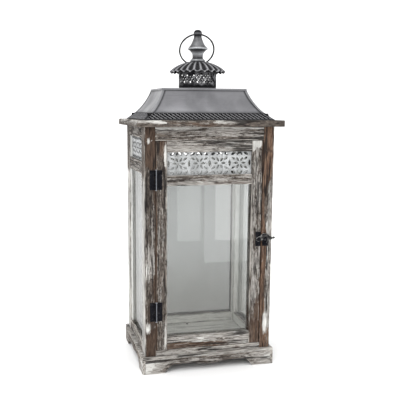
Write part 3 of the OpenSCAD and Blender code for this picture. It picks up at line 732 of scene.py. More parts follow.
def build_door():
    def stile_paint(right):
        def paint(co):
            x, _, z = co
            white = 0.0
            if right:
                white = 1.0 * ease(0.3005, 0.3055, z - 0.6 * (x - 0.058) + 0.004 * grain_noise(co, 200))
            else:
                white = max(white, 1.2 * spot(co, (-0.061, FRONT_Y, 0.30), (0.0035, 0.012, 0.02)))
                white = max(white, 1.1 * spot(co, (-0.061, FRONT_Y, 0.055), (0.0035, 0.012, 0.03)))
            if right:
                bare = 0.75 * (1 - ease(0.06, 0.12, z))
            else:
                bare = 0.45 * ease(0.265, 0.29, z + 0.02 * grain_noise(co, 30))
            # painted shade: the stiles' outer faces in the gaps beside the posts are bare wood darkened to
            # near black
            if abs(x) > 0.0732:
                return 0.6, -0.6, -1.0
            return bare, white
        return paint

    for name, inner, right in (("door_left_stile", "+x", False), ("door_right_stile", "-x", True)):
        lo, hi = node_box(name)
        cuts = [(inner, lo[1] + GROOVE[0], lo[1] + GROOVE[1], GROOVE_DEEP)]
        obj = board(name + "_worn", (lo, hi), "z", 3.3 if right else 3.7, cuts, paint=stile_paint(right))
        finish_piece(obj, "door", "aged_wood_brown", WOOD["z"] if right else BROWN_WOOD["z"], name)

    def foot_paint(co):
        n1 = grain_noise((co[0] * 30, 0.0, co[2] * 60), 1.0, 6.1)
        dark = (1 - ease(0.0385, 0.0415, co[2] + 0.003 * n1)) * (1 - ease(0.0, 0.045, co[0]))
        return 0.55 * dark, -1.3 * dark + 0.3 * n1, -0.42 * dark * (0.6 + 1.2 * n1)

    seed = 4.1
    tones = ((0.15, 0.2), (0.1, 0.05), (0.0, 0.4))
    for (rail, low, high), tone in zip(RAILS, tones):
        name = "door_" + rail
        lo, hi = node_box(name)
        cuts = rail_cuts(low, high, (lo[1] + GROOVE[0], lo[1] + GROOVE[1]))
        seed += 0.41
        paint = None if low else foot_paint
        obj = board(name + "_worn", (lo, hi), "x", seed, cuts, tone=tone, paint=paint)
        finish_piece(obj, "door", "aged_wood_washed", WOOD["x"], name)


# Width of a foot, then the scalloped edge beside it: height and length of its curve, where its flat
# ends, and how much lower it is in the middle
FOOT_W = 0.027
SCALLOP_H, SCALLOP_L, FLAT_END, SAG = 0.0115, 0.014, 0.03, 0.0032


def skirt_edge(x, reach):
    """The scalloped lower edge, the same curve as the CAD skirts."""
    if x >= reach:
        return 0.0
    if x >= reach - SCALLOP_L:
        return SCALLOP_H * math.sin(math.pi / 2 * (reach - x) / SCALLOP_L)
    if x >= reach - FLAT_END:
        return SCALLOP_H
    return 0.0083 + SAG * (1 - math.cos(math.pi * x / (reach - FLAT_END))) / 2


def build_base():
    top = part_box("base_board")[1].z

    def paint(co):
        within = abs(co[0]) < 0.078 and abs(co[1]) < 0.059 and co[2] > top - 0.001
        return 0.0, 1.5 if within else 0.1

    obj = board("base_board_worn", node_box("base_board"), "x", 5.21, r=0.001, end_r=0.0008,
                paint=paint, butted=False)
    finish_piece(obj, "case", "aged_wood_washed", PALE_WOOD["x"], "base_board")

    def skirt_paint(co):
        corner = max(abs(co[0]) - 0.0945, abs(co[1]) - 0.0755)
        n1 = grain_noise(co, 26, 2.2)
        end = ease(0.055, 0.085, abs(co[0])) if abs(co[1]) > 0.068 else ease(0.05, 0.07, abs(co[1]))
        joint = -1.2 * ease(0.0172, 0.0182, co[2]) if corner < 0.0 else 0.0
        return 0.3 + 0.5 * n1 - 0.3 * end, 0.1 + 0.6 * n1 + 0.5 * end + joint

    for name, axis, total, seed in (("skirt_front", "x", 0.181, 5.6), ("skirt_back", "x", 0.181, 5.9),
                                    ("skirt_left", "y", 0.151, 6.3), ("skirt_right", "y", 0.151, 6.6)):
        box = node_box(name)
        reach = total / 2 - FOOT_W
        obj = board(name + "_worn", box, axis, seed, step=0.002, paint=skirt_paint, butted=False,
                    lower=lambda a, r=reach: skirt_edge(abs(a), r))
        finish_piece(obj, "case", "aged_wood_washed", WOOD[axis], name)


def build_cornice():
    def paint(co):
        x, y, z = co
        if abs(x) < 0.0985 and abs(y) < 0.0795:
            return 0.0, 0.2
        n1 = grain_noise((x * 38, y * 38, z * 60), 1.0, 4.4)
        chips = ease(-0.02, 0.12, n1) * ease(0.3395, 0.3420, z)
        worn = 0.3 if n1 >= 0.0 else -0.3
        # painted shadow: below z 0.3378 the mask is set dark, a shadow line along the cornice's foot
        return 0.25 + 0.3 * n1, -0.9 + 1.55 * chips, -0.8 if z < 0.3378 else worn

    obj = board("cornice_worn", node_box("cornice_board"), "x", 7.7, r=0.001, end_r=0.001, wear=1.3,
                paint=paint, butted=False)
    cutter = make_rod("cornice_cutter", 0.042, 0.33, 0.36, 96)
    cut_away(obj, cutter)
    finish_piece(obj, "case", "aged_wood_washed", DARK_WOOD, "cornice_board")


# ---------------------------------------------------------------- metal work

def make_lathe(name, profile, count, wobble=None, masks=None):
    """Turns a profile of (radius, height) round the Z axis. wobble(angle, i, r, z) may move a point."""
    verts, faces, tints, rings = [], [], [], []
    for i, (r, z) in enumerate(profile):
        if r < 1e-9:
            rings.append([len(verts)])
            verts.append((0, 0, z))
            tints.append(masks(0.0, i, r, z) if masks else (0, 0, 0, 0))
            continue
        ring = []
        for k in range(count):
            a = 2 * math.pi * k / count
            rr, zz = wobble(a, i, r, z) if wobble else (r, z)
            ring.append(len(verts))
            verts.append((rr * math.cos(a), rr * math.sin(a), zz))
            tints.append(masks(a, i, r, z) if masks else (0, 0, 0, 0))
        rings.append(ring)
    for a, b in zip(rings, rings[1:]):
        for k in range(count):
            m = (k + 1) % count
            if len(a) == 1 and len(b) == 1:
                continue
            if len(a) == 1:
                faces.append((a[0], b[m], b[k]))
            elif len(b) == 1:
                faces.append((a[k], a[m], b[0]))
            else:
                faces.append((a[k], a[m], b[m], b[k]))
    obj = make_object(name, verts, faces, tints)
    recalc(obj)
    return obj


def make_rod(name, r, low, high, count):
    """A plain round rod along Z, for cutting holes."""
    return make_lathe(name, [(0.0, low), (r, low), (r, high), (0.0, high)], count)


def smooth_profile(points, per):
    """A rounder version of a profile, through its points."""
    out = []
    n = len(points)
    for i in range(n - 1):
        p0, p1, p2, p3 = points[max(0, i - 1)], points[i], points[i + 1], points[min(n - 1, i + 2)]
        for k in range(per):
            t = k / per
            q = []
            for d in range(2):
                a, b, c, e = p0[d], p1[d], p2[d], p3[d]
                square, cube = 2 * a - 5 * b + 4 * c - e, 3 * b - a - 3 * c + e
                q.append(0.5 * (2 * b + (c - a) * t + square * t * t + cube * t ** 3))
            out.append((max(0.0, q[0]), q[1]))
    out.append(points[-1])
    return out


# Slope of the roof's curve at its foot and at its top
ROOF_LOW, ROOF_HIGH = math.radians(55), math.radians(18.5)


def roof_curve(count, shift=0.0):
    """Points (inset from the foot's outer face, height) up the hollow roof, moved out by shift."""
    lo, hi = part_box("roof_shell")
    height = hi.z - lo.z
    arc = height / (math.sin(ROOF_LOW) - math.sin(ROOF_HIGH))
    out = []
    for i in range(count + 1):
        a = ROOF_LOW + (ROOF_HIGH - ROOF_LOW) * i / count
        inset = arc * (math.cos(a) - math.cos(ROOF_LOW)) - shift * math.cos(a)
        out.append((inset, lo.z + arc * (math.sin(ROOF_LOW) - math.sin(a)) + shift * math.sin(a), a))
    return out


def build_roof():
    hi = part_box("roof_shell")[1]
    foot_x, foot_y = hi.x, hi.y
    band_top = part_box("roof_band")[1].z
    curve = roof_curve(24)
    seam = 0.0034
    counts = (44, 36)
    verts, masks, faces, rows = [], [], [], []
    for i, (inset, z, a) in enumerate(curve):
        hx, hy = foot_x - inset, foot_y - inset
        row = []
        for side in range(4):
            half, reach, count = (hx, hy, counts[0]) if side % 2 == 0 else (hy, hx, counts[1])
            stops = [0.0, seam * 0.85, seam]
            inner = [seam + 0.0003 + (2 * half - 2 * seam - 0.0006) * k / count for k in range(count + 1)]
            stops += inner + [2 * half - seam, 2 * half - seam * 0.85]
            for s in stops:
                from_corner = min(s, 2 * half - s)
                proud = 0.00045 if from_corner <= seam and z > band_top else 0.0
                t = s - half
                dent = 0.0
                if from_corner > seam:
                    dent = -0.00028 * (0.5 + 0.5 * grain_noise((t * 22, side * 3.0, z * 30), 1.0, 1.7))
                out = reach + (proud + dent) * math.cos(a)
                zz = z + (proud + dent) * math.sin(a) * (0 if i in (0, len(curve) - 1) else 1)
                if from_corner == 0.0:
                    t = math.copysign(half + proud * math.cos(a), t)
                x, y = ((t, -out), (out, t), (-t, out), (-out, -t))[side]
                row.append(len(verts))
                verts.append((x, y, zz))
                # painted shade: darker under the lid, just above the band and in the crease beside each seam;
                # painted highlight along each seam's crest
                near_lid = 0.9 * (1 - ease(0.0005, 0.0045, hi.z - z))
                near_band = 0.55 * (1 - ease(0.0, 0.004, z - band_top))
                near_seam = 0.95 if seam * 0.9 < from_corner < seam * 1.6 else 0.0
                ridge = 0.35 if from_corner < seam * 0.5 else 0.0
                masks.append((ridge, max(near_lid, near_band, near_seam), 0, 0.5))
        rows.append(row)
    for a, b in zip(rows, rows[1:]):
        n = len(a)
        for k in range(n):
            faces.append((a[k], a[(k + 1) % n], b[(k + 1) % n], b[k]))
    obj = make_object("roof_sheet", verts, faces, masks)
    mod = obj.modifiers.new("sheet", "SOLIDIFY")
    mod.thickness = 0.0011
    mod.offset = -1
    mod.use_even_offset = True
    bake_modifiers(obj)
    sharp_by_angle(obj, 32)
    finish_piece(obj, "case", "zinc_sheet", ZINC, "roof_shell")


def build_band():
    """Strip round the roof's foot with a lattice of raised ribs over a dark ground. The rib tops are
    painted light, one lean brighter than the other, a painted highlight, and the ground is darkened
    to black, a painted shade.
    """
    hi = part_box("roof_shell")[1]
    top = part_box("roof_band")[1].z
    curve = [c for c in roof_curve(40) if c[1] <= top + 1e-6]
    lengths = [0.0]
    for p, q in zip(curve, curve[1:]):
        lengths.append(lengths[-1] + math.hypot(q[0] - p[0], q[1] - p[1]))
    total = lengths[-1]

    def at(v):
        """Inset, height and slope at distance v up the strip."""
        i = 1
        while i < len(curve) - 1 and v > lengths[i]:
            i += 1
        t = (v - lengths[i - 1]) / (lengths[i] - lengths[i - 1])
        return [a + (b - a) * t for a, b in zip(curve[i - 1], curve[i])]

    def half_at(side, v):
        return (hi.x if side % 2 == 0 else hi.y) - at(v)[0]

    def place(side, t, v, out):
        inset, z, a = at(v)
        reach = (hi.y if side % 2 == 0 else hi.x) - inset + out * math.cos(a)
        z = z + out * math.sin(a)
        return ((t, -reach, z), (reach, t, z), (-t, reach, z), (-reach, -t, z))[side]

    verts, faces, masks = [], [], []

    def bar(side, path, width, top_width, out, low_mask, top_mask):
        """A closed bar along path, a list of (t, v, across t, across v)."""
        start = len(verts)
        for t, v, at_t, at_v in path:
            for w, height, tint in ((-width, 0.0, low_mask), (width, 0.0, low_mask),
                                    (top_width, out, top_mask), (-top_width, out, top_mask)):
                vv = min(total, max(0.0, v + w * at_v))
                verts.append(place(side, t + w * at_t, vv, height))
                masks.append(tint)
        for i in range(len(path) - 1):
            for k in range(4):
                m = (k + 1) % 4
                a, b = start + i * 4, start + (i + 1) * 4
                faces.append((a + k, a + m, b + m, b + k))
        faces.append((start + 3, start + 2, start + 1, start))
        end = start + (len(path) - 1) * 4
        faces.append((end, end + 1, end + 2, end + 3))

    pitch, border = 0.0058, 0.0008
    # tints as (ridge, hollow): dark is the painted shade of the sunk ground, bright and soft the painted
    # highlight on rib tops, dim the half-darkened tops of the border bars
    dark, dim, bright, soft = (0, 1.0, 0, 0), (0.1, 0.5, 0, 0), (1.0, 0, 0, 0), (0.45, 0, 0, 0)
    for side in range(4):
        for v, width in ((border, border), (total - border, border)):
            half = half_at(side, v)
            path = [(-half + 2 * half * i / 24, v, 0, 1) for i in range(25)]
            bar(side, path, width, width * 0.7, 0.00085, dark, dim)
        ground = [(-half_at(side, total / 2), total / 2, 0, 1), (half_at(side, total / 2), total / 2, 0, 1)]
        bar(side, ground, total / 2 - border, total / 2 - border, 0.0002, dark, dark)
        for end in (-1, 1):
            stops = [total * i / 6 for i in range(7)]
            path = [(end * (half_at(side, v) - 0.0007), v, 1, 0) for v in stops]
            bar(side, path, 0.0008, 0.0007, 0.00085, dark, dim)
        # painted highlight: ribs leaning one way get the bright tint and the other way the soft one, as if
        # lit from one side
        for lean, rib, tint in ((-1, 0.0006, bright), (1, 0.0003, soft)):
            most = int((half_at(side, 0.0) + total) / pitch) + 1
            for c in range(-most, most + 1):
                path = []
                for i in range(7):
                    v = 2 * border + (total - 4 * border) * i / 6
                    t = c * pitch + lean * (v - total / 2) * 0.9
                    if abs(t) < half_at(side, v) - 0.0016:
                        path.append((t, v, 1, 0))
                if len(path) > 1:
                    bar(side, path, rib, rib * 0.6, 0.00075, dark, tint)
    obj = make_object("roof_lattice_band", verts, faces, masks)
    sharp_by_angle(obj, 30)
    finish_piece(obj, "case", "dark_metal", BAND, "roof_band")


def build_lid():
    lo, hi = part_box("roof_lid")
    obj = board("roof_lid_folded", node_box("roof_lid"), "x", 8.3, r=0.0006, end_r=0.0006, wear=0.35)
    tints = obj.data.attributes["mask"].data
    # painted highlight along the lid's top edges, and painted shade along its foot where it sits on the roof
    for tint, v in zip(tints, obj.data.vertices):
        low = 1.0 - ease(lo.z + 0.0002, lo.z + 0.0012, v.co.z)
        crest = ease(hi.z - 0.0008, hi.z - 0.0002, v.co.z)
        tint.color = (0.35 * crest * tint.color[0], low, 0, 0.5)
    cut = make_rod("lid_cut", 0.022, lo.z - 0.01, hi.z + 0.01, 64)
    sheet = 0.0012
    hollow = ([lo.x + sheet, lo.y + sheet, lo.z - 0.01], [hi.x - sheet, hi.y - sheet, hi.z - 0.0010])
    inner = board("lid_inner_cut", hollow, "x", 8.4, r=0.0002, end_r=0.0002, wear=0.0, step=0.05)
    cut_away(obj, cut, inner)
    sharp_by_angle(obj, 40)
    finish_piece(obj, "case", "zinc_sheet", ZINC, "roof_lid")


# Turn of the collar's pattern about Z, in degrees
COLLAR_TURN = 3.0


def loop(kind, cx, cz, size, turn=0.0, count=14):
    """One hole of the collar as a closed loop of points (along, up)."""
    out = []
    for k in range(count):
        a = 2 * math.pi * k / count
        x, z = math.cos(a) * size[0], math.sin(a) * size[1]
        if kind == "leaf":
            z *= abs(math.sin(a)) ** 0.35 * (1 - 0.35 * math.cos(a))
        if kind == "diamond":
            s = abs(math.cos(a)) + abs(math.sin(a))
            x, z = x / s, z / s
        c, s = math.cos(turn), math.sin(turn)
        out.append((cx + x * c - z * s, cz + x * s + z * c))
    return out


def inside(point, outline):
    """True if the point lies inside the closed outline."""
    odd = False
    for (x0, y0), (x1, y1) in zip(outline, outline[1:] + outline[:1]):
        if (y0 > point[1]) != (y1 > point[1]) and point[0] < x0 + (x1 - x0) * (point[1] - y0) / (y1 - y0):
            odd = not odd
    return odd


def collar_holes(cells, pitch):
    """Two staggered rows of ovals in a net of leaves, diamonds and dots."""
    holes = []
    for c in range(cells):
        x = (c + 0.25) * pitch
        half = pitch / 2
        holes.append(loop("oval", x, 10.0 * MM, (1.7 * MM, 2.2 * MM)))
        holes.append(loop("oval", x + half, 19.0 * MM, (1.7 * MM, 2.2 * MM)))
        holes.append(loop("diamond", x, 17.4 * MM, (1.7 * MM, 2.0 * MM), count=12))
        holes.append(loop("diamond", x + half, 11.4 * MM, (1.7 * MM, 2.0 * MM), count=12))
        holes.append(loop("oval", x + half, 7.2 * MM, (0.9 * MM, 0.9 * MM), count=10))
        for s in (-1, 1):
            lean = math.pi / 2 - s * 0.7
            holes.append(loop("leaf", x + s * 2.5 * MM, 14.5 * MM, (2.1 * MM, 1.15 * MM), lean, 12))
            holes.append(loop("oval", x + s * 2.5 * MM, 20.2 * MM, (0.7 * MM, 0.7 * MM), count=8))
            holes.append(loop("oval", x + s * 2.7 * MM, 8.6 * MM, (0.7 * MM, 0.7 * MM), count=8))
            holes.append(loop("oval", x + s * 1.3 * MM, 5.2 * MM, (0.75 * MM, 0.75 * MM), count=8))
    return holes


def build_collar():
    """Tube pierced with two rows of ovals in a net of small cuts, with a rolled bead round its foot."""
    lo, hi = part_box("vent_collar")
    r, height, cells = hi.x, hi.z - lo.z, 16
    wide = 2 * math.pi * r
    holes = collar_holes(cells, wide / cells)
    turn = math.radians(COLLAR_TURN)
    pts, edges = [], []
    for hole in holes:
        start = len(pts)
        pts += [Vector(p) for p in hole]
        edges += [(start + k, start + (k + 1) % len(hole)) for k in range(len(hole))]
    columns, rows = cells * 4, 10
    start = len(pts)
    pts += [Vector((wide * k / columns, 0.0)) for k in range(columns + 1)]
    pts += [Vector((wide * k / columns, height)) for k in range(columns + 1)]
    for first in (start, start + columns + 1):
        edges += [(first + k, first + k + 1) for k in range(columns)]
    for x, low, high in ((0.0, start, start + columns + 1), (wide, start + columns, start + 2 * columns + 1)):
        run = [low] + list(range(len(pts), len(pts) + rows - 1)) + [high]
        pts += [Vector((x, height * j / rows)) for j in range(1, rows)]
        edges += list(zip(run, run[1:]))
    plain = [z * MM for z in (1.4, 2.8, 22.4, 25, 28) if z * MM < height - MM]
    pts += [Vector((wide * k / columns, z)) for k in range(1, columns) for z in plain]
    flat, _, triangles, *_ = delaunay_2d_cdt(pts, edges, [], 1, 1e-7)
    kept = []
    for face in triangles:
        centre = [sum(flat[i][d] for i in face) / len(face) for d in range(2)]
        near = [h for h in holes if abs(h[0][0] - centre[0]) < 6 * MM and abs(h[0][1] - centre[1]) < 6 * MM]
        if not any(inside(centre, h) for h in near):
            kept.append(tuple(face))
    verts, masks = [], []
    for p in flat:
        a = p[0] / r + turn
        wall = r - 0.0004 * (1 - ease(0.0016, 0.0026, p[1]))
        co = (wall * math.cos(a), wall * math.sin(a), lo.z + p[1])
        worn = min(1.0, max(0.0, 0.2 + 1.2 * grain_noise(co, 170)))
        ends = ease(0.0045, 0.007, p[1]) * (1 - ease(0.0205, 0.0235, p[1]))
        verts.append(co)
        masks.append((worn * 0.75 * ends, 0.85 * (1 - ends), 0, 0))
    obj = make_object("vent_collar_pierced", verts, kept, masks)
    merge_points(obj, 2e-6)
    face_out(obj)
    mod = obj.modifiers.new("sheet", "SOLIDIFY")
    mod.thickness = 0.0009
    mod.offset = -1
    bake_modifiers(obj)
    sharp_by_angle(obj, 40)
    finish_piece(obj, "case", "dark_metal", DARK, "vent_collar")
    inner, low = r - 0.0008, lo.z
    profile = [(inner, low), (r - 0.0001, low), (r, low + 0.0005), (r, low + 0.0011),
               (r - 0.0003, low + 0.0016), (inner, low + 0.0016), (inner, low)]
    bead = make_lathe("vent_collar_bead", profile, 96, masks=lambda a, i, rr, z: (0.2, 0.4, 0, 0))
    finish_piece(bead, "case", "dark_metal", DARK)


def merge_points(obj, dist):
    with edited(obj) as bm:
        bmesh.ops.remove_doubles(bm, verts=bm.verts, dist=dist)


def face_out(obj):
    """Turns every face of a thin shell about Z so that it looks away from the axis."""
    with edited(obj) as bm:
        bmesh.ops.recalc_face_normals(bm, faces=bm.faces)
        bm.faces.ensure_lookup_table()
        f = bm.faces[0]
        c = f.calc_center_median()
        if f.normal.x * c.x + f.normal.y * c.y < 0:
            bmesh.ops.reverse_faces(bm, faces=bm.faces)


def build_cap():
    """Cap with 24 flutes that run out into a scalloped rim."""
    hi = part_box("vent_cap")[1]
    r, z0, sheet = hi.x, hi.z - 0.0129, 0.0009
    outline = [(r, 0.0), (r - 0.0063, 0.0049), (r - 0.0137, 0.0089), (r - 0.021, 0.0115),
               (r - 0.026, 0.0129), (0.004, 0.0129)]
    top = [(p[0], z0 + min(p[1], 0.0129)) for p in smooth_profile(outline, 5)]
    under = [(p[0], p[1] - sheet) for p in reversed(top)]
    n = len(top)

    def wave(a):
        return 0.5 - 0.5 * math.cos(24 * a)

    def flute(a, i, rr, z):
        low = ease(0.0135, r, rr) * (1 - wave(a))
        return rr - 0.0016 * ease(0.0135, r, rr) ** 2 * low, z - 0.0023 * low

    def tint(a, i, rr, z):
        # painted highlight on the flutes' crests and the rim; painted shade in the flutes' troughs, round the
        # finial's foot and over the whole underside
        if i >= n:
            return (0, 1.0, 0, 0)
        depth = ease(0.0125, 0.022, rr)
        ridge = 0.75 * wave(a) ** 5 * depth
        groove = (1 - wave(a)) ** 1.3 * depth
        rim = 0.75 if rr > r * 0.975 else 0.0
        collar = 1 - ease(0.0115, 0.0145, rr)
        return (max(ridge, rim), max(0.95 * groove * (1 - rim), 0.9 * collar), 0, 0)

    full = top + under
    full.append(full[0])
    obj = make_lathe("fluted_cap", full, 24 * 12, flute, tint)
    sharp_by_angle(obj, 60)
    finish_piece(obj, "case", "dark_metal", DARK, "vent_cap")


def near(z, middle, width):
    """1 at middle, falling off smoothly over width."""
    return math.exp(-((z - middle) / width) ** 2)


def build_finial():
    lo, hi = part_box("finial")
    foot, most = lo.z, hi.x
    bell = foot + 0.018
    points = [(0.0105, 0.0), (0.0102, 0.0024), (0.0091, 0.0036), (0.0076, 0.005), (0.0074, 0.0075),
              (0.0081, 0.0114), (0.0112, 0.0154), (0.0139, 0.0172), (0.0143, 0.018), (0.0138, 0.0188),
              (0.0104, 0.0225), (0.0084, 0.026), (0.007, 0.0294), (0.0059, 0.0324), (0.0054, hi.z - foot)]
    profile = [(min(p[0], most), foot + p[1]) for p in smooth_profile(points, 4)]

    def tint(a, i, rr, z):
        # painted highlight on the bell's rim, the foot ring and the swells; painted shade in the necks, under
        # the bell's rim, at the foot and below the knob
        edge = 0.95 * near(z, bell, 0.0008) + 0.75 * near(z, foot + 0.0024, 0.0008)
        edge += 0.4 * near(z, foot + 0.011, 0.0022) + 0.15 * near(z, bell + 0.007, 0.004)
        groove_shade = near(z, foot, 0.001) + 0.9 * near(z, foot + 0.0055, 0.0013)
        groove_shade += 0.8 * near(z, bell - 0.0024, 0.0011)
        groove_shade += 0.45 * near(z, bell + 0.003, 0.0012) + 0.8 * near(z, hi.z, 0.0022)
        return (min(1.0, edge), min(1.0, groove_shade), 0, 0)

    obj = make_lathe("turned_finial", [(0.0, foot)] + profile + [(0.0, hi.z)], 72, masks=tint)
    sharp_by_angle(obj, 50)
    finish_piece(obj, "case", "zinc_cast", CAST, "finial")
    build_knob(hi.z)


def find_joint(name):
    return [j for j in frame["joints"] if j["name"] == name][0]


def ring_joint():
    """The ring's pivot and the way its axis points."""
    joint = find_joint("ring_pivot")
    return Vector(joint["pos_m"]), Vector(joint["axis"]).normalized()


def build_knob(foot):
    """Small turned knob with the ring's cross hole."""
    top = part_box("finial_knob")[1].z
    r = 0.0061
    points = [(0.0053, 0.0), (0.0056, 0.0014), (r * 0.99, 0.003), (r, 0.0037), (r * 0.985, 0.0046),
              (0.0055, 0.0062), (0.0042, 0.0078), (0.0024, 0.0089), (0.0004, top - foot)]
    profile = [(min(p[0], r), foot + p[1]) for p in smooth_profile(points, 4)]
    knob = make_lathe("finial_knob_turned", [(0.0, foot)] + profile + [(0.0, top)], 64,
                      masks=lambda a, i, rr, z: (0.35 * near(z, foot + 0.004, 0.001), 0.45, 0, 0))
    drill = make_rod("knob_drill", 0.0023, -0.02, 0.02, 32)
    pivot, axis = ring_joint()
    drill.data.transform(Matrix.Translation(pivot) @ axis.to_track_quat("Z", "Y").to_matrix().to_4x4())
    cut_away(knob, drill)
    sharp_by_angle(knob, 45)
    finish_piece(knob, "case", "dark_metal", DARK, "finial_knob")


def build_ring():
    """Ring of bent wire, a little uneven, hanging from the knob's cross hole and resting on the cap."""
    lo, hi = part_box("ring_handle")
    pivot, side = ring_joint()
    radius = 0.0244
    wire = hi.z - pivot.z
    lean = math.acos((pivot.z - lo.z - wire) / (2 * radius))
    behind = Vector((0, 0, 1)).cross(side)
    down = behind * math.sin(lean) - Vector((0, 0, 1)) * math.cos(lean)
    normal = side.cross(down)
    centre = pivot + down * radius
    verts, faces = [], []
    count, around = 120, 14
    for i in range(count):
        a = 2 * math.pi * i / count
        radial = down * math.cos(a) + side * math.sin(a)
        thick = wire * (0.94 + 0.06 * math.sin(5 * a + 1) * math.sin(2 * a))
        for k in range(around):
            b = 2 * math.pi * k / around
            verts.append(centre + radial * (radius + thick * math.cos(b)) + normal * (thick * math.sin(b)))
    for i in range(count):
        for k in range(around):
            j, m = (i + 1) % count, (k + 1) % around
            faces.append((i * around + k, j * around + k, j * around + m, i * around + m))
    obj = make_object("ring_wire", verts, faces)
    recalc(obj)
    finish_piece(obj, "ring", "black_iron", WIRE, "ring_handle")


# Radius and height of every screw head
SCREW_R, SCREW_HEAD = 0.0019, 0.0007


def screw(name, centre, r, head, axis, slot_turn):
    """Round screw head with a slot, standing on centre. It looks along -Y, or along +Z."""
    bm = bmesh.new()
    rings = [(r, 0.0), (r, head * 0.25), (r * 0.9, head * 0.6), (r * 0.62, head * 0.88), (r * 0.3, head)]
    count = 20
    half = r * 0.17
    prev = None
    for rr, h in rings:
        ring = []
        for k in range(count):
            a = 2 * math.pi * k / count
            ring.append(bm.verts.new((rr * math.cos(a), rr * math.sin(a), h)))
        if prev:
            for k in range(count):
                bm.faces.new((prev[k], prev[(k + 1) % count], ring[(k + 1) % count], ring[k]))
        else:
            bm.faces.new(list(reversed(ring)))
        prev = ring
    bm.faces.new(prev)
    mesh = bpy.data.meshes.new(name)
    bm.to_mesh(mesh)
    bm.free()
    obj = link_mesh(name, mesh)
    cube = bpy.data.meshes.new(name + "_cut")
    bm = bmesh.new()
    bmesh.ops.create_cube(bm, size=1.0)
    bmesh.ops.scale(bm, vec=(3 * r, 2 * half, head), verts=bm.verts)
    bmesh.ops.rotate(bm, matrix=Matrix.Rotation(slot_turn, 3, "Z"), verts=bm.verts)
    bmesh.ops.translate(bm, vec=(0, 0, head), verts=bm.verts)
    bm.to_mesh(cube)
    bm.free()
    cutter = link_mesh(name + "_cut", cube)
    cut_away(obj, cutter)
    turn = Matrix.Rotation(math.pi / 2, 4, "X") if axis == "y" else Matrix.Identity(4)
    obj.data.transform(Matrix.Translation(Vector(centre)) @ turn)
    sharp_by_angle(obj, 35)
    return obj


def join(name, objects):
    bm = bmesh.new()
    for o in objects:
        bm.from_mesh(o.data)
    mesh = bpy.data.meshes.new(name)
    bm.to_mesh(mesh)
    bm.free()
    for o in objects:
        bpy.data.objects.remove(o)
    for p in mesh.polygons:
        p.use_smooth = True
    return link_mesh(name, mesh)


def screw_set(name, node, places, body, axis="y"):
    """places are the heads' centres (x, z) on the front, or (x, y) on the floor."""
    lo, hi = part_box(node)
    heads = []
    for i, p in enumerate(places):
        turn = 0.4 + 1.9 * i
        centre = (p[0], lo.y + SCREW_HEAD, p[1]) if axis == "y" else (p[0], p[1], hi.z - SCREW_HEAD)
        heads.append(screw("%s_%d" % (name, i), centre, SCREW_R, SCREW_HEAD, axis, turn))
    obj = join(name, heads)
    finish_piece(obj, body, "black_iron", IRON, node)


def build_hardware():
    """The plates, knuckles, pins, rivet and hook keep their CAD shapes with eased edges. The screws
    get slotted heads."""
    pin = find_joint("door_hinge")["pos_m"]
    pins_lo, pins_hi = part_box("hinge_pins")
    leaf_h = 0.026
    zs = [pins_lo.z + 0.001, pins_hi.z - 0.001 - leaf_h]
    for node, s, body in (("hinge_post_screws", -1, "case"), ("hinge_door_screws", 1, "door")):
        places = [(pin[0] + s * 0.0054, z + dz) for z in zs for dz in (0.005, 0.021)]
        screw_set(node + "_slotted", node, places, body)
    hook = find_joint("hook_pivot")["pos_m"]
    screw_set("latch_screws_slotted", "latch_screws", [(hook[0], hook[2] + s * 0.0074) for s in (-1, 1)],
              "door")
    clo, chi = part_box("catch_screws")
    mid_x, mid_z = (clo.x + chi.x) / 2, (clo.z + chi.z) / 2
    screw_set("catch_screws_slotted", "catch_screws", [(mid_x + s * 0.0021, mid_z) for s in (-1, 1)],
              "case")
    flo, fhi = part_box("floor_screws")
    ys = (flo.y + SCREW_R, fhi.y - SCREW_R)
    screw_set("floor_screws_slotted", "floor_screws", [(0.0, y) for y in ys], "case", "z")
    for node, mat, width in (("hinge_post_leaves", HINGE_IRON, 0.00025),
                             ("hinge_door_leaves", HINGE_IRON, 0.00025),
                             ("latch_plate", IRON, 0.0003), ("latch_rivet", IRON, 0.0002),
                             ("latch_hook", HOOK_IRON, 0.0005), ("catch_plate", IRON, 0.0003),
                             ("finial_screw", IRON, 0.0002)):
        set_material(frame["nodes"][node], mat)
        soften(frame["nodes"][node], width)
    set_material(frame["nodes"]["hinge_pins"], STEEL)
    soften(frame["nodes"]["hinge_pins"], 0.00015, 1)


def dress_cad_nodes():
    nodes = frame["nodes"]
    for side, axis, glass in (("back", "y", BACK_GLASS), ("left", "x", SIDE_GLASS),
                              ("right", "x", SIDE_GLASS), ("door", "y", DOOR_GLASS)):
        set_material(nodes[side + "_fretwork"], FRET[axis])
        soften(nodes[side + "_fretwork"], 0.00055)
        set_material(nodes[side + "_glass"], glass)
    for name, axis in (("foot_blocks", "z"), ("base_battens", "x")):
        set_material(nodes[name], BROWN_WOOD[axis])
        soften(nodes[name], 0.0006)


# ---------------------------------------------------------------- studio

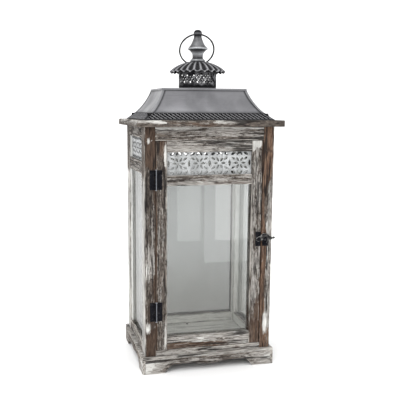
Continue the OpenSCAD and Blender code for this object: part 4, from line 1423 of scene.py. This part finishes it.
def build_studio():
    mat, _, bsdf = new_material("studio_floor")
    bsdf.inputs["Base Color"].default_value = (0.95, 0.95, 0.95, 1)
    bsdf.inputs["Roughness"].default_value = 0.9
    size = 6.0
    verts, faces = [], []
    rows = 24
    bend = [math.pi / 2 * k / rows for k in range(rows + 1)]
    profile = [(2.4 + 1.2 * math.sin(a), 1.2 - 1.2 * math.cos(a)) for a in bend]
    profile = [(-size, 0.0)] + profile + [(3.6, 5.0)]
    for y, z in profile:
        verts += [(-size, y, z), (size, y, z)]
    for i in range(len(profile) - 1):
        faces.append((2 * i, 2 * i + 1, 2 * i + 3, 2 * i + 2))
    floor = make_object("studio_sweep", verts, faces)
    floor.location.z = -0.0002
    set_material(floor, mat)

    def area(name, loc, size, power, target=(0, 0, 0.22)):
        light = bpy.data.lights.new(name, "AREA")
        light.shape = "RECTANGLE"
        light.size, light.size_y = size
        light.energy = power
        obj = bpy.data.objects.new(name, light)
        obj.location = loc
        obj.rotation_euler = (Vector(target) - Vector(loc)).to_track_quat("-Z", "Y").to_euler()
        bpy.context.scene.collection.objects.link(obj)
        return obj

    area("key_soft_box", (-1.5, -1.6, 1.7), (1.4, 1.4), 31)
    area("fill_soft_box", (1.9, -1.3, 1.0), (1.2, 1.6), 13.5)
    area("top_soft_box", (0.0, 0.3, 2.3), (1.8, 1.8), 22)
    area("back_wall_light", (0.0, 1.2, 2.0), (2.5, 0.8), 30, (0, 3.0, 0.6))
    # cards of light, hidden from the camera and from diffuse light, that show as reflections
    cards = ((0.065, 0.117, 0.084, 0.23, 1.0), (0.1234, 0.2206, 0.0357, 0.23, 1.5),
             (0.147, 0.2206, 0.084, 0.23, 2.0))
    for i, (x0, x1, z0, z1, bright) in enumerate(cards):
        x, z = (x0 + x1) / 2, (z0 + z1) / 2
        power = math.pi * bright * (x1 - x0) * (z1 - z0)
        card = area("card_%d" % i, (x, -0.53 + 0.002 * i, z), (x1 - x0, z1 - z0), power, (x, 0.0, z))
        card.visible_camera = False
        card.visible_diffuse = False
    world = bpy.data.worlds.new("studio_world")
    world.use_nodes = True
    world.node_tree.nodes["Background"].inputs[0].default_value = (1.0, 1.0, 1.0, 1)
    world.node_tree.nodes["Background"].inputs[1].default_value = 0.86
    bpy.context.scene.world = world
    bpy.context.scene.view_settings.view_transform = "Standard"
    bpy.context.scene.view_settings.look = "None"


def build_camera():
    data = bpy.data.cameras.new("camera")
    cam = bpy.data.objects.new("camera", data)
    bpy.context.scene.collection.objects.link(cam)
    target = Vector((-0.0187, 0.0, 0.2073))
    az, el, roll, dist = math.radians(-13.86), math.radians(9.26), math.radians(0.26), 0.9486
    back = Vector((math.sin(az) * math.cos(el), -math.cos(az) * math.cos(el), math.sin(el)))
    cam.location = target + back * dist
    cam.rotation_mode = "QUATERNION"
    look = (-back).to_track_quat("-Z", "Y")
    cam.rotation_quaternion = look @ Matrix.Rotation(roll, 3, "Z").to_quaternion()
    data.sensor_width = 36
    data.lens = 58.67
    data.shift_x = 0.04
    data.shift_y = 0.0375
    bpy.context.scene.camera = cam


build_case()
build_door()
build_base()
build_cornice()
build_roof()
build_band()
build_lid()
build_collar()
build_cap()
build_finial()
build_ring()
build_hardware()
dress_cad_nodes()
build_studio()
build_camera()
